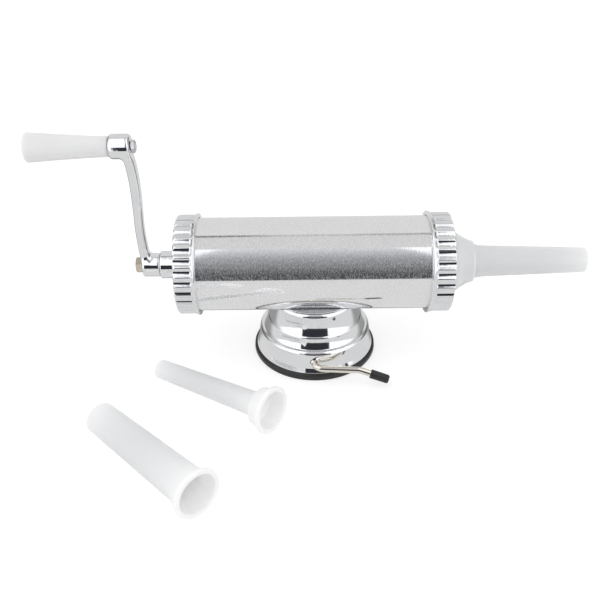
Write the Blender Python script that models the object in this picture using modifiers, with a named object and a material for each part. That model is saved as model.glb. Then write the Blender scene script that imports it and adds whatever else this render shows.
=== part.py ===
"""Hand-cranked sausage stuffer on a suction base, with two spare nozzles.

An aluminium barrel lies on a stepped chrome base. A lead screw runs through the hub of the
rear cap, with the crank on its outer end and the piston on its inner end. A ribbed ring holds
a funnel cone and the nozzle to the front of the barrel. A bent wire lever turns a cam in the
base, which pulls up the middle of the suction pad.

Metres, +Z up, +X along the barrel towards the nozzle. The origin is the middle of the base on
the table.
"""

import math

import bmesh
import bpy
import numpy as np
from mathutils import Euler, Matrix, Vector

MM = 0.001

# Clearances and cuts
seat_gap = 0.3 * MM          # between pieces that rest on or clamp each other
running_gap = 0.4 * MM       # round a piece that turns or slides
overrun = 4.0 * MM           # how far a cut runs past the face that it opens

# Barrel
barrel_radius = 35.0 * MM
barrel_wall = 2.0 * MM
barrel_offset = -0.9 * MM    # the barrel's middle, along X from the base's middle
exposed_length = 168.4 * MM  # barrel showing between the two caps
neck_depth = 0.9 * MM        # the barrel's ends are turned down for their threads

# Caps, front and rear alike
cap_length = 17.2 * MM
cap_rib_rise = 2.4 * MM      # the ribs stand this far above the barrel
cap_flange_rise = 4.5 * MM
cap_flange_width = 3.6 * MM
cap_flange_round = 1.1 * MM
cap_fillet = 1.2 * MM        # between the flange and the ribbed face
cap_mouth_depth = 4.6 * MM   # the mouth goes over the barrel's full width
cap_edge_round = 2.4 * MM
groove_radius = 1.9 * MM
groove_depth = 1.2 * MM
rib_count = 28
cap_edge_share = 0.3         # of the edge's round, at its middle point

# Front ring
ring_lip = 2.5 * MM
ring_cover = 4.7 * MM        # from the barrel's radius in to the opening

# Rear cap
cap_plate = 3.5 * MM
hub_radius = 10.4 * MM
hub_length = 13.6 * MM
hub_round = 1.0 * MM

# Funnel cone and nozzles
cone_flange = 2.5 * MM
cone_root_gap = 0.8 * MM      # between the funnel's root and the ring's opening
cone_mouth_radius = 15.5 * MM
cone_length = 21.2 * MM      # from the flange's front face to the mouth
cone_wall = 1.8 * MM
cone_flare = 1.5             # power of the funnel's curve
cone_points = 7              # along the funnel's side
nozzle_flange_radius = 17.0 * MM
nozzle_flange = 3.0 * MM
nozzle_wall = 1.6 * MM
nozzle_seat_length = 8.4 * MM
nozzle_seat_radius = 15.4 * MM
nozzle_neck_radius = 13.3 * MM
nozzle_flare_length = 7.0 * MM
nozzle_lip_round = 0.6 * MM
flare_shares = (0.7, 0.35)   # along the flare, from its tube end
# Each nozzle: tube radius at the flare, at the tip, and length over all
medium_root_radius = 11.6 * MM
medium_tip_radius = 9.2 * MM
medium_length = 96.6 * MM
large_root_radius = 12.9 * MM
large_tip_radius = 11.3 * MM
large_length = 108.8 * MM
small_root_radius = 8.6 * MM
small_tip_radius = 7.15 * MM
small_length = 106.6 * MM
# Where each spare lies, clear of the crank's sweep: the middle of its flange on the table, and
# the way its tip points
large_place_x = -75.0 * MM
large_place_y = -176.2 * MM
large_heading = 134.6
small_place_x = -31.2 * MM
small_place_y = -100.4 * MM
small_heading = 145.0

# Lead screw and its nut
screw_radius = 6.0 * MM
thread_depth = 1.1 * MM
thread_lead = 6.0 * MM
thread_land_share = 0.3      # crest and root each take this share of the lead
nut_radius = 8.0 * MM
nut_flange_radius = 11.5 * MM
nut_flange = 2.2 * MM
key_side = 6.6 * MM          # square end that turns with the crank
key_clear = 1.0 * MM         # the square stops this far short of the boss's outer face
screw_neck_radius = 3.6 * MM
piston_thread_radius = 2.9 * MM

# Crank
crank_radius = 95.0 * MM
lower_boss_radius = 8.9 * MM
lower_boss_length = 13.0 * MM
upper_boss_radius = 8.7 * MM
upper_boss_length = 15.1 * MM
upper_boss_offset = 11.7 * MM  # the upper boss stands out from the lower one
boss_round = 2.2 * MM
arm_width = 7.4 * MM
arm_depth = 11.0 * MM
# Arm stations: share of the crank's radius, of the offset, of the width and of the depth
arm_station_shares = (
    (0.020, 0.22, 1.02, 1.00), (0.090, 0.37, 0.95, 0.98), (0.200, 0.45, 0.91, 0.94),
    (0.340, 0.485, 0.90, 0.90), (0.480, 0.45, 0.92, 0.90), (0.630, 0.425, 0.96, 0.93),
    (0.780, 0.46, 0.98, 0.98), (0.890, 0.56, 1.00, 1.05), (0.970, 0.73, 1.02, 1.10),
)
arm_squareness = 3.0
arm_sides = 12

# Crank bolt
crank_bolt_flats = 10.0 * MM
crank_bolt_head = 5.0 * MM
crank_bolt_radius = 2.5 * MM
crank_bolt_reach = 16.0 * MM   # shank length under the head

# Grip on its bolt
grip_length = 57.6 * MM
grip_inner_radius = 7.1 * MM
grip_outer_radius = 10.4 * MM
grip_bolt_radius = 3.2 * MM
grip_thread_radius = 2.6 * MM
grip_head_radius = 5.4 * MM
grip_head = 3.2 * MM
grip_recess = 5.0 * MM
grip_swell_shares = (0.25, 0.5, 0.75)
grip_swell_power = 1.3       # the grip widens faster towards its end
grip_nut_flats = 8.0 * MM
grip_nut_height = 2.8 * MM

# Piston
piston_setback = 1.5 * MM    # its face stays this far inside the barrel's front end
piston_length = 14.0 * MM
piston_hub_radius = 12.0 * MM
piston_hub_length = 5.0 * MM
piston_edge_round = 1.2 * MM
seal_width = 4.0 * MM
seal_depth = 3.4 * MM
piston_recess_radius = 8.6 * MM
piston_recess_depth = 6.4 * MM
piston_nut_flats = 10.0 * MM
piston_nut_height = 4.0 * MM
washer_radius = 7.6 * MM
washer_height = 1.2 * MM

# Base, from the table up
pad_radius = 47.9 * MM
pad_rim_height = 5.4 * MM
pad_rim_width = 9.0 * MM
pad_edge_round = 1.4 * MM
pad_disc_height = 2.6 * MM
pad_boss_radius = 13.0 * MM
pad_boss_height = 4.9 * MM
pad_floor = 1.2 * MM
dome_wall = 2.6 * MM
lip_radius = 46.0 * MM
lip_height = 1.5 * MM
band_foot_radius = 44.5 * MM
band_top_radius = 42.8 * MM
band_top_height = 18.6 * MM
shoulder_start = 30.0         # degrees round the band's shoulder to its first point
step_radius = 40.5 * MM
step_height = 20.7 * MM
tier_foot_radius = 33.4 * MM
tier_foot_height = 27.6 * MM
tier_top_radius = 32.8 * MM
dome_height = 47.0 * MM
dome_edge_round = 0.9 * MM
saddle_depth = 6.0 * MM      # how deep the barrel sinks into the dome's top
saddle_floor = 2.8 * MM      # metal left under the barrel

# Screws that hold the barrel to the base
stud_spacing = 36.0 * MM
stud_radius = 2.5 * MM
stud_tail = 1.5 * MM         # thread left below the nut
stud_nut_flats = 8.0 * MM
stud_nut_height = 4.0 * MM
stud_washer_radius = 5.5 * MM
stud_washer_height = 1.0 * MM

# Suction lever
wire_radius = 2.5 * MM
lever_x = -1.5 * MM
lever_height = 14.4 * MM
lever_reach = 7.2 * MM       # from the band's face out to the arm
lever_bend_radius = 4.0 * MM
bend_shares = (0.0, 0.33, 0.67, 1.0)   # points along each bend of the arm
elbow_start = 20.0           # degrees round the elbow to its first point
lever_tail = 1.2 * MM        # wire end past the far wall
lever_arm_run = 30.0 * MM    # the straight part of the arm
lever_arm_drop = 2.0 * MM
lever_kink_run = 8.6 * MM    # the kinked part
lever_kink_drop = 2.4 * MM
lever_kink_out = 1.6 * MM
lever_end_run = 11.6 * MM    # the part in the sleeve
lever_end_drop = 2.7 * MM
lever_end_out = 2.9 * MM
sleeve_radius = 3.3 * MM
sleeve_length = 14.3 * MM
sleeve_round = 1.0 * MM
sleeve_cap = 1.4 * MM
cam_radius = 5.2 * MM
cam_throw = 1.4 * MM
cam_width = 9.0 * MM
retainer_radius = 3.6 * MM
retainer_height = 1.2 * MM

# Pull stud in the middle of the pad
yoke_side = 2.4 * MM
yoke_bar = 2.0 * MM
yoke_width = 7.0 * MM
pull_allowance = 0.35 * MM   # the cam's arc against the stud's straight rise
stud_foot_radius = 9.0 * MM
stud_foot_height = 1.5 * MM
stud_stem_radius = 3.5 * MM

# Sides of the round shapes
fine_sides = 56              # a multiple of the ribs' count
round_sides = 40
small_sides = 28
pin_sides = 12
thread_sides = 10
arc_points = 3
spin_axis_x = Euler((0.0, math.pi / 2, 0.0))
upright = Euler((0.0, 0.0, 0.0))

# Heights and stations worked out from the sizes above
barrel_bottom = dome_height - saddle_depth
axis_height = barrel_bottom + barrel_radius
bore_radius = barrel_radius - barrel_wall
cap_rib_radius = barrel_radius + cap_rib_rise
cap_flange_radius = barrel_radius + cap_flange_rise
ring_opening_radius = barrel_radius - ring_cover
cone_root_radius = ring_opening_radius - cone_root_gap
neck_radius = barrel_radius - neck_depth
cap_bore_radius = neck_radius + seat_gap
cap_mouth_radius = barrel_radius + seat_gap
front_mouth_x = barrel_offset + exposed_length / 2
rear_mouth_x = barrel_offset - exposed_length / 2
ring_face_x = front_mouth_x + cap_length
cone_front_x = ring_face_x - ring_lip - seat_gap
cone_back_x = cone_front_x - cone_flange
barrel_front_x = cone_back_x - seat_gap
cap_face_x = rear_mouth_x - cap_length
cap_inner_x = cap_face_x + cap_plate
barrel_rear_x = cap_inner_x + seat_gap
hub_end_x = cap_face_x - hub_length
cone_mouth_x = cone_front_x + cone_length
nozzle_seat_x = cone_mouth_x - nozzle_seat_length
nozzle_back_x = nozzle_seat_x - nozzle_flange
boss_inner_x = hub_end_x - seat_gap
boss_outer_x = boss_inner_x - lower_boss_length
lower_boss_x = (boss_inner_x + boss_outer_x) / 2
upper_boss_x = lower_boss_x - upper_boss_offset
upper_inner_x = upper_boss_x + upper_boss_length / 2
upper_outer_x = upper_boss_x - upper_boss_length / 2
grip_near_x = upper_outer_x - seat_gap
grip_far_x = grip_near_x - grip_length
piston_front_x = barrel_front_x - piston_setback
piston_back_x = piston_front_x - piston_length
piston_hub_x = piston_back_x - piston_hub_length
screw_end_x = piston_hub_x - washer_height - 2 * seat_gap
recess_floor_x = piston_front_x - piston_recess_depth
piston_nut_x = recess_floor_x + washer_height + 2 * seat_gap
pad_lip_height = pad_rim_height + seat_gap
lip_top = pad_lip_height + lip_height
ceiling_height = barrel_bottom - seat_gap - saddle_floor
cam_height = lever_height - cam_throw
window_half_height = cam_radius + pull_allowance + running_gap
window_half_width = cam_radius + cam_throw - lever_x + running_gap
yoke_low = cam_height - window_half_height - yoke_bar
yoke_high = cam_height + window_half_height + yoke_bar
foot_floor = pad_floor + seat_gap


# Scene

def clear_scene():
    """Remove every object, so that the script starts from nothing."""
    for obj in list(bpy.data.objects):
        bpy.data.objects.remove(obj, do_unlink=True)


def make_collection(name):
    """A collection linked to the scene."""
    collection = bpy.data.collections.new(name)
    bpy.context.scene.collection.children.link(collection)
    return collection


def make_material(name, color, roughness, metallic):
    """A plain finish with one colour, roughness and metallic value."""
    material = bpy.data.materials.new(name)
    material.use_nodes = True
    shader = material.node_tree.nodes["Principled BSDF"]
    shader.inputs["Base Color"].default_value = (*color, 1.0)
    shader.inputs["Roughness"].default_value = roughness
    shader.inputs["Metallic"].default_value = metallic
    material.diffuse_color = (*color, 1.0)
    return material


clear_scene()
parts = make_collection("sausage_stuffer")
cutters = make_collection("cutters")

satin_aluminium = make_material("satin_aluminium", (0.72, 0.72, 0.74), 0.32, 1.0)
chrome = make_material("chrome", (0.80, 0.80, 0.82), 0.08, 1.0)
white_plastic = make_material("white_plastic", (0.86, 0.87, 0.88), 0.35, 0.0)
black_rubber = make_material("black_rubber", (0.02, 0.02, 0.02), 0.55, 0.0)
wire_nickel = make_material("wire_nickel", (0.74, 0.68, 0.60), 0.15, 1.0)
zinc_steel = make_material("zinc_steel", (0.62, 0.56, 0.44), 0.35, 1.0)
bright_steel = make_material("bright_steel", (0.60, 0.60, 0.62), 0.25, 1.0)
brass = make_material("brass", (0.72, 0.55, 0.28), 0.30, 1.0)
piston_plastic = make_material("piston_plastic", (0.82, 0.83, 0.84), 0.40, 0.0)


def make_empty(name, place, parent=None):
    """An empty on a joint's axis. The place is in the parent's frame."""
    empty = bpy.data.objects.new(name, None)
    empty.empty_display_size = barrel_wall
    empty.location = place
    empty.parent = parent
    parts.objects.link(empty)
    return empty


def add_object(name, mesh, material, parent=None, place=(0.0, 0.0, 0.0), turn=upright):
    """Put a mesh in the object's collection, or among the cutters when it has no material."""
    obj = bpy.data.objects.new(name, mesh)
    obj.location = place
    obj.rotation_euler = turn
    obj.parent = parent
    if material is None:
        cutters.objects.link(obj)
        obj.hide_render = True
        obj.display_type = "WIRE"
    else:
        mesh.materials.append(material)
        parts.objects.link(obj)
    return obj


def finish_mesh(name, shape):
    """Turn a bmesh into a mesh with smooth faces and sharp edges where the form turns."""
    bmesh.ops.recalc_face_normals(shape, faces=shape.faces)
    mesh = bpy.data.meshes.new(name)
    shape.to_mesh(mesh)
    shape.free()
    mesh.shade_smooth()
    mesh.set_sharp_from_angle(angle=math.radians(30))
    return mesh


# Shapes

def turned(name, outline, sides, material, parent=None, place=(0.0, 0.0, 0.0), turn=spin_axis_x):
    """Turn an outline of (station, radius) pairs about the object's own Z axis.

    The outline runs down the outer side, from high stations to low ones. It closes on itself
    when it starts off the axis.
    """
    mesh = bpy.data.meshes.new(name)
    points = [(radius, 0.0, station) for station, radius in outline]
    edges = [(i, i + 1) for i in range(len(points) - 1)]
    if outline[0][1] > 0.0:
        edges.append((len(points) - 1, 0))
    mesh.from_pydata(points, edges, [])
    obj = add_object(name, mesh, material, parent, place, turn)
    screw = obj.modifiers.new("turn", "SCREW")
    screw.axis = "Z"
    screw.steps = sides
    screw.render_steps = sides
    screw.use_merge_vertices = True
    screw.merge_threshold = 0.00001
    screw.use_smooth_shade = False
    return obj


def arc(center, radii, start, end, points=arc_points):
    """Points on an ellipse's arc, as (station, radius) pairs, ends left in. Angles in degrees."""
    angles = np.radians(np.linspace(start, end, points + 2))
    return [(center[0] + radii[0] * math.cos(a), center[1] + radii[1] * math.sin(a)) for a in angles]


def cylinder_mesh(name, radius, length, sides):
    """A closed cylinder about its own Z axis, middle at its origin."""
    shape = bmesh.new()
    bmesh.ops.create_cone(
        shape, cap_ends=True, segments=sides, radius1=radius, radius2=radius, depth=length
    )
    return finish_mesh(name, shape)


def rod(name, radius, start, end, sides, material, parent=None):
    """A cylinder between two points. With no material it is a cutter."""
    start, end = Vector(start), Vector(end)
    turn = (end - start).to_track_quat("Z", "Y").to_euler()
    mesh = cylinder_mesh(name, radius, (end - start).length, sides)
    return add_object(name, mesh, material, parent, (start + end) / 2, turn)


def box_mesh(name, size):
    """A closed box about its origin."""
    shape = bmesh.new()
    bmesh.ops.create_cube(shape, size=1.0, matrix=Matrix.Diagonal((*size, 1.0)))
    return finish_mesh(name, shape)


def boolean(obj, tool, operation):
    """Cut, join or keep one piece with another."""
    change = obj.modifiers.new(tool.name, "BOOLEAN")
    change.operation = operation
    change.solver = "EXACT"
    change.object = tool
    return obj


def many_rods(name, radius, ends, sides):
    """Several equal cylinders in one mesh, each between two points."""
    shape = bmesh.new()
    for start, end in ends:
        start, end = Vector(start), Vector(end)
        turn = (end - start).to_track_quat("Z", "Y").to_matrix().to_4x4()
        bmesh.ops.create_cone(
            shape,
            cap_ends=True,
            segments=sides,
            radius1=radius,
            radius2=radius,
            depth=(end - start).length,
            matrix=Matrix.Translation((start + end) / 2) @ turn,
        )
    return finish_mesh(name, shape)


def across_corners(flats):
    """Radius to the corners of a hexagon with this width across its flats."""
    return flats / 2 / math.cos(math.pi / 6)


def threaded_mesh(name, crest, root, start, end, gap=0.0):
    """A right-hand thread on a solid core, along its own Z axis, from start to end.

    One lead of the flank's outline is carried round a helix, strip beside strip, and each end
    closes as a fan on the axis.
    """
    land = thread_land_share * thread_lead
    slope = thread_lead / 2 - land
    profile = (
        (0.0, root),
        (land - gap, root),
        (land + slope - gap, crest),
        (2 * land + slope + gap, crest),
    )
    turns = math.ceil((end - start) / thread_lead) + 1
    count = turns * thread_sides
    shape = bmesh.new()
    rings = []
    for step in range(count + 1):
        angle = 2 * math.pi * step / thread_sides
        rise = start - thread_lead + thread_lead * step / thread_sides
        rings.append([
            shape.verts.new((radius * math.cos(angle), radius * math.sin(angle), rise + along))
            for along, radius in profile
        ])
    last = len(profile) - 1
    for here, there in zip(rings, rings[1:]):
        for i in range(last):
            shape.faces.new((here[i], there[i], there[i + 1], here[i + 1]))
    for step in range(count - thread_sides):
        here, there = rings[step], rings[step + 1]
        above, beyond = rings[step + thread_sides], rings[step + thread_sides + 1]
        shape.faces.new((here[last], there[last], beyond[0], above[0]))
    close_fan(shape, [ring[0] for ring in rings[:thread_sides + 1]] + rings[0][:0:-1], -1)
    top = [ring[last] for ring in rings[count - thread_sides:]]
    close_fan(shape, top + rings[count][last - 1::-1], 1)
    return finish_mesh(name, shape)


def close_fan(shape, loop, side):
    """Close a loop of vertices with a fan on the axis, one thread depth beyond the loop."""
    heights = [vertex.co.z for vertex in loop]
    height = (min(heights) if side < 0 else max(heights)) + side * thread_depth
    middle = shape.verts.new((0.0, 0.0, height))
    for here, there in zip(loop, loop[1:] + loop[:1]):
        shape.faces.new((here, there, middle))


# Axes of the moving bodies

barrel_axis = make_empty("barrel_axis", (0.0, 0.0, axis_height))
plunger_axis = make_empty("plunger_axis", (0.0, 0.0, axis_height))
crank_axis = make_empty("crank_axis", (0.0, 0.0, 0.0), plunger_axis)
grip_axis = make_empty("grip_axis", (0.0, 0.0, crank_radius), crank_axis)
nozzle_axis = make_empty("nozzle_axis", (0.0, 0.0, axis_height))
ring_axis = make_empty("ring_axis", (0.0, 0.0, 0.0), nozzle_axis)
lever_axis = make_empty("lever_axis", (lever_x, 0.0, lever_height))
pull_axis = make_empty("pull_axis", (0.0, 0.0, cam_height))


# Base

def band_radius_at(height):
    """Outer radius of the dome's band at a height."""
    share = (height - lip_top) / (band_top_height - lip_top)
    return band_foot_radius + (band_top_radius - band_foot_radius) * share


def band_bore_at(height):
    """Inner radius of the dome's band at a height."""
    return band_radius_at(height) - dome_wall


def make_pad():
    """Rubber suction pad: a flat disc with a thick rim and a boss that holds the pull stud."""
    socket = stud_foot_radius + seat_gap
    throat = stud_stem_radius + seat_gap
    socket_top = foot_floor + stud_foot_height + seat_gap
    rim_inner = pad_radius - pad_rim_width
    outline = [
        (pad_floor, 0.0),
        (pad_floor, socket),
        (socket_top, socket),
        (socket_top, throat),
        (pad_boss_height, throat),
        (pad_boss_height, pad_boss_radius - pad_edge_round),
        (pad_boss_height - pad_edge_round, pad_boss_radius),
        (pad_disc_height, pad_boss_radius + pad_edge_round),
        (pad_disc_height, rim_inner - pad_edge_round),
        (pad_rim_height, rim_inner + pad_edge_round),
        (pad_rim_height, lip_radius),
        (pad_rim_height - pad_edge_round, pad_radius - pad_edge_round / 4),
        (pad_edge_round, pad_radius),
        (0.0, pad_radius - pad_edge_round / 2),
        (0.0, 0.0),
    ]
    return turned("suction_pad", outline, round_sides, black_rubber, turn=upright)


def dome_outline():
    """Outline of the stepped dome, outside from the top down, then inside from the foot up."""
    inner_tier = tier_top_radius - dome_wall
    rise = tier_foot_height - step_height
    outer = [(dome_height, 0.0)]
    outer += arc(
        (dome_height - dome_edge_round, tier_top_radius - dome_edge_round),
        (dome_edge_round, dome_edge_round), 0, 90, 1,
    )
    outer.append((tier_foot_height, tier_foot_radius))
    step_run = step_radius - tier_foot_radius - dome_edge_round
    outer += arc(
        (tier_foot_height - dome_edge_round / 2, step_radius),
        (rise - dome_edge_round / 2, step_run), 270, 180, arc_points,
    )
    outer += arc(
        (band_top_height, step_radius),
        (step_height - band_top_height, band_top_radius - step_radius), shoulder_start, 90, 1,
    )
    outer += [
        (lip_top + dome_edge_round, band_foot_radius),
        (lip_top, band_foot_radius + dome_edge_round / 2),
        (lip_top - dome_edge_round / 3, lip_radius - dome_edge_round / 3),
        (pad_lip_height, lip_radius),
    ]
    inner = [
        (pad_lip_height, band_bore_at(pad_lip_height)),
        (step_height - dome_wall, band_bore_at(step_height - dome_wall)),
        (step_height - dome_wall / 2, inner_tier),
        (ceiling_height, inner_tier),
        (ceiling_height, 0.0),
    ]
    return outer + inner


def make_dome():
    """Chrome base with a saddle for the barrel, two screw holes and the lever's two holes."""
    dome = turned("base_dome", dome_outline(), round_sides, chrome, turn=upright)
    reach = tier_foot_radius + overrun
    saddle = rod(
        "saddle_cut", barrel_radius + seat_gap,
        (-reach, 0.0, axis_height), (reach, 0.0, axis_height), fine_sides, None,
    )
    boolean(dome, saddle, "DIFFERENCE")
    span = max(lip_radius, band_radius_at(lever_height)) + overrun
    bore = rod(
        "lever_cut", wire_radius + seat_gap,
        (lever_x, -span, lever_height), (lever_x, span, lever_height), pin_sides, None,
    )
    boolean(dome, bore, "DIFFERENCE")
    holes = many_rods("stud_cut", stud_radius + seat_gap, [
        ((x, 0.0, ceiling_height - overrun), (x, 0.0, dome_height)) for x in stud_places()
    ], pin_sides)
    boolean(dome, add_object("stud_cut", holes, None), "DIFFERENCE")
    return dome


def stud_places():
    """Where the two barrel screws stand, along X."""
    return (-stud_spacing / 2, stud_spacing / 2)


def make_barrel_fixing(number, x):
    """A welded stud under the barrel, with its washer and nut inside the dome."""
    washer_top = ceiling_height - seat_gap
    washer_low = washer_top - stud_washer_height
    nut_top = washer_low - seat_gap
    nut_low = nut_top - stud_nut_height
    stud = rod(
        f"barrel_stud_{number}", stud_radius,
        (x, 0.0, nut_low - stud_tail), (x, 0.0, axis_height), pin_sides, bright_steel,
    )
    reach = abs(x) + stud_washer_radius + overrun
    underside = rod(
        f"barrel_face_cut_{number}", barrel_radius + seat_gap / 3,
        (-reach, 0.0, axis_height), (reach, 0.0, axis_height), fine_sides * 2, None,
    )
    boolean(stud, underside, "DIFFERENCE")
    hole = rod(
        f"stud_clearance_{number}", stud_radius + seat_gap,
        (x, 0.0, nut_low - overrun), (x, 0.0, axis_height), pin_sides, None,
    )
    washer = rod(
        f"stud_washer_{number}", stud_washer_radius,
        (x, 0.0, washer_low), (x, 0.0, washer_top), pin_sides, bright_steel,
    )
    boolean(washer, hole, "DIFFERENCE")
    nut = rod(
        f"stud_nut_{number}", across_corners(stud_nut_flats),
        (x, 0.0, nut_low), (x, 0.0, nut_top), 6, zinc_steel,
    )
    boolean(nut, hole, "DIFFERENCE")


# Suction lever

def lever_route():
    """The wire's centre line from its far end, through the dome, round the elbow to its tip."""
    far = band_radius_at(lever_height) + lever_tail
    near = -(band_radius_at(lever_height) + lever_reach)
    points = [(0.0, far, 0.0), (0.0, near + lever_bend_radius, 0.0)]
    for angle in np.radians(np.linspace(elbow_start, 90, len(bend_shares))):
        points.append((
            lever_bend_radius * (1 - math.cos(angle)),
            near + lever_bend_radius * (1 - math.sin(angle)),
            0.0,
        ))
    arm_end = Vector((lever_bend_radius + lever_arm_run, near, -lever_arm_drop))
    kink_end = arm_end + Vector((lever_kink_run, -lever_kink_out, -lever_kink_drop))
    tip = kink_end + Vector((lever_end_run, -lever_end_out, -lever_end_drop))
    elbow = Vector(points[-1])
    corner = []
    for before, at, after in ((elbow, arm_end, kink_end), (arm_end, kink_end, tip)):
        back = (before - at).normalized() * lever_bend_radius
        ahead = (after - at).normalized() * lever_bend_radius
        for share in bend_shares:
            corner.append(at + back * (1 - share) ** 2 + ahead * share ** 2)
    return [Vector(p) for p in points] + corner + [tip]


def make_wire(name, points, radius, resolution, material, parent):
    """A round wire along a list of points."""
    curve = bpy.data.curves.new(name, "CURVE")
    curve.dimensions = "3D"
    curve.bevel_depth = radius
    curve.bevel_resolution = resolution
    curve.use_fill_caps = True
    spline = curve.splines.new("POLY")
    spline.points.add(len(points) - 1)
    for point, place in zip(spline.points, points):
        point.co = (*place, 1.0)
    curve.materials.append(material)
    wire = bpy.data.objects.new(name, curve)
    wire.parent = parent
    parts.objects.link(wire)
    return wire


def make_lever():
    """Bent wire lever with its black sleeve, its cam and the push-on ring that keeps it in."""
    route = lever_route()
    make_wire("lever_wire", route, wire_radius, 4, wire_nickel, lever_axis)
    tip = route[-1]
    along = (tip - route[-2]).normalized()
    outline = [
        (sleeve_length, 0.0),
        (sleeve_length, sleeve_radius - sleeve_round),
        (sleeve_length - sleeve_round, sleeve_radius),
        (0.0, sleeve_radius),
        (0.0, wire_radius + seat_gap),
        (sleeve_length - sleeve_cap, wire_radius + seat_gap),
        (sleeve_length - sleeve_cap, 0.0),
    ]
    start = tip - along * (sleeve_length - sleeve_cap - seat_gap)
    turned(
        "lever_sleeve", outline, pin_sides, black_rubber, lever_axis, start,
        along.to_track_quat("Z", "Y").to_euler(),
    )
    cam = rod(
        "lever_cam", cam_radius,
        (0.0, -cam_width / 2, -cam_throw), (0.0, cam_width / 2, -cam_throw),
        small_sides, bright_steel, lever_axis,
    )
    span = band_radius_at(lever_height) + overrun
    bore = rod(
        "cam_cut", wire_radius + seat_gap,
        (0.0, -span, 0.0), (0.0, span, 0.0), pin_sides, None, lever_axis,
    )
    boolean(cam, bore, "DIFFERENCE")
    bore_there = min(
        band_bore_at(lever_height + retainer_radius), band_bore_at(lever_height - retainer_radius)
    )
    wall = math.sqrt(bore_there ** 2 - retainer_radius ** 2) - running_gap
    keeper = rod(
        "lever_retainer", retainer_radius,
        (0.0, wall - retainer_height, 0.0), (0.0, wall, 0.0), pin_sides, bright_steel, lever_axis,
    )
    boolean(keeper, bore, "DIFFERENCE")


def make_pull_stud():
    """Pull stud moulded into the pad: a foot, a stem and a yoke round the cam."""
    outer_width = 2 * (window_half_width + yoke_side)
    outer_height = yoke_high - yoke_low
    middle = (yoke_high + yoke_low) / 2 - cam_height
    yoke = box_mesh("pull_stud", (outer_width, yoke_width, outer_height))
    yoke = add_object("pull_stud", yoke, bright_steel, pull_axis, (0.0, 0.0, middle))
    window = box_mesh(
        "window_cut",
        (2 * window_half_width, yoke_width + 2 * overrun, 2 * window_half_height),
    )
    window = add_object("window_cut", window, None, pull_axis)
    boolean(yoke, window, "DIFFERENCE")
    foot_low = foot_floor - cam_height
    stem_top = yoke_low + yoke_bar / 2 - cam_height
    outline = [
        (stem_top, 0.0),
        (stem_top, stud_stem_radius),
        (foot_low + stud_foot_height, stud_stem_radius),
        (foot_low + stud_foot_height, stud_foot_radius),
        (foot_low, stud_foot_radius),
        (foot_low, 0.0),
    ]
    stem = turned("stud_stem", outline, small_sides, None, pull_axis, turn=upright)
    boolean(yoke, stem, "UNION")


# Barrel and caps

def make_barrel():
    """Aluminium tube with turned-down ends."""
    rear_step = rear_mouth_x - cap_mouth_depth + seat_gap
    front_step = front_mouth_x + cap_mouth_depth - seat_gap
    outline = [
        (barrel_front_x, neck_radius),
        (front_step, neck_radius),
        (front_step, barrel_radius),
        (rear_step, barrel_radius),
        (rear_step, neck_radius),
        (barrel_rear_x, neck_radius),
        (barrel_rear_x, bore_radius),
        (barrel_front_x, bore_radius),
    ]
    return turned("barrel", outline, fine_sides, satin_aluminium, barrel_axis)


def cap_side(mouth, direction):
    """Outer side of a cap from its mouth to its face, and the grooved stretch's start.

    The direction is 1 for the front ring and -1 for the rear cap.
    """
    flange_end = mouth + direction * cap_flange_width
    face = mouth + direction * cap_length
    ribs = flange_end + direction * cap_fillet
    side = [
        (mouth, cap_flange_radius - cap_flange_round),
        (mouth + direction * cap_flange_round, cap_flange_radius),
        (flange_end - direction * cap_flange_round, cap_flange_radius),
        (flange_end, cap_flange_radius - cap_flange_round),
        (ribs, cap_rib_radius),
        (face - direction * cap_edge_round, cap_rib_radius),
        (face - direction * cap_edge_round * cap_edge_share,
         cap_rib_radius - cap_edge_round * cap_edge_share),
        (face, cap_rib_radius - cap_edge_round),
    ]
    return side, ribs


def cut_grooves(cap, name, start, end, parent):
    """Cut the grooves that leave the ribs round a cap."""
    reach = cap_rib_radius - groove_depth + groove_radius
    ends = []
    for i in range(rib_count):
        angle = 2 * math.pi * (i + 0.5) / rib_count
        y, z = reach * math.cos(angle), reach * math.sin(angle)
        ends.append(((start, y, z), (end, y, z)))
    grooves = many_rods(name, groove_radius, ends, 8)
    boolean(cap, add_object(name, grooves, None, parent), "DIFFERENCE")


def make_front_ring():
    """Ribbed ring nut that clamps the cone to the barrel's front end."""
    side, ribs = cap_side(front_mouth_x, 1)
    lip = ring_face_x - ring_lip
    bore_start = front_mouth_x + cap_mouth_depth
    outline = side[::-1] + [
        (front_mouth_x, cap_mouth_radius),
        (bore_start, cap_mouth_radius),
        (bore_start, cap_bore_radius),
        (lip, cap_bore_radius),
        (lip, ring_opening_radius),
        (ring_face_x, ring_opening_radius),
    ]
    ring = turned("front_ring", outline, fine_sides, chrome, ring_axis)
    cut_grooves(ring, "ring_grooves", ribs, ring_face_x + overrun, ring_axis)
    return ring


def make_rear_cap():
    """Ribbed rear cap with the hub that carries the screw's nut."""
    side, ribs = cap_side(rear_mouth_x, -1)
    bore_start = rear_mouth_x - cap_mouth_depth
    hub_bore = nut_radius + seat_gap
    outline = [(rear_mouth_x, cap_mouth_radius)] + side + [
        (cap_face_x, hub_radius),
        (hub_end_x + hub_round, hub_radius),
        (hub_end_x, hub_radius - hub_round),
        (hub_end_x, hub_bore),
        (cap_inner_x, hub_bore),
        (cap_inner_x, cap_bore_radius),
        (bore_start, cap_bore_radius),
        (bore_start, cap_mouth_radius),
    ]
    cap = turned("rear_cap", outline, fine_sides, chrome, barrel_axis)
    cut_grooves(cap, "cap_grooves", ribs, cap_face_x - overrun, barrel_axis)
    return cap


# Funnel cone and nozzles

def cone_radius_at(x):
    """Outer radius of the funnel at a station."""
    share = min(max((x - cone_front_x) / cone_length, 0.0), 1.0)
    return cone_mouth_radius + (cone_root_radius - cone_mouth_radius) * (1 - share) ** cone_flare


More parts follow.
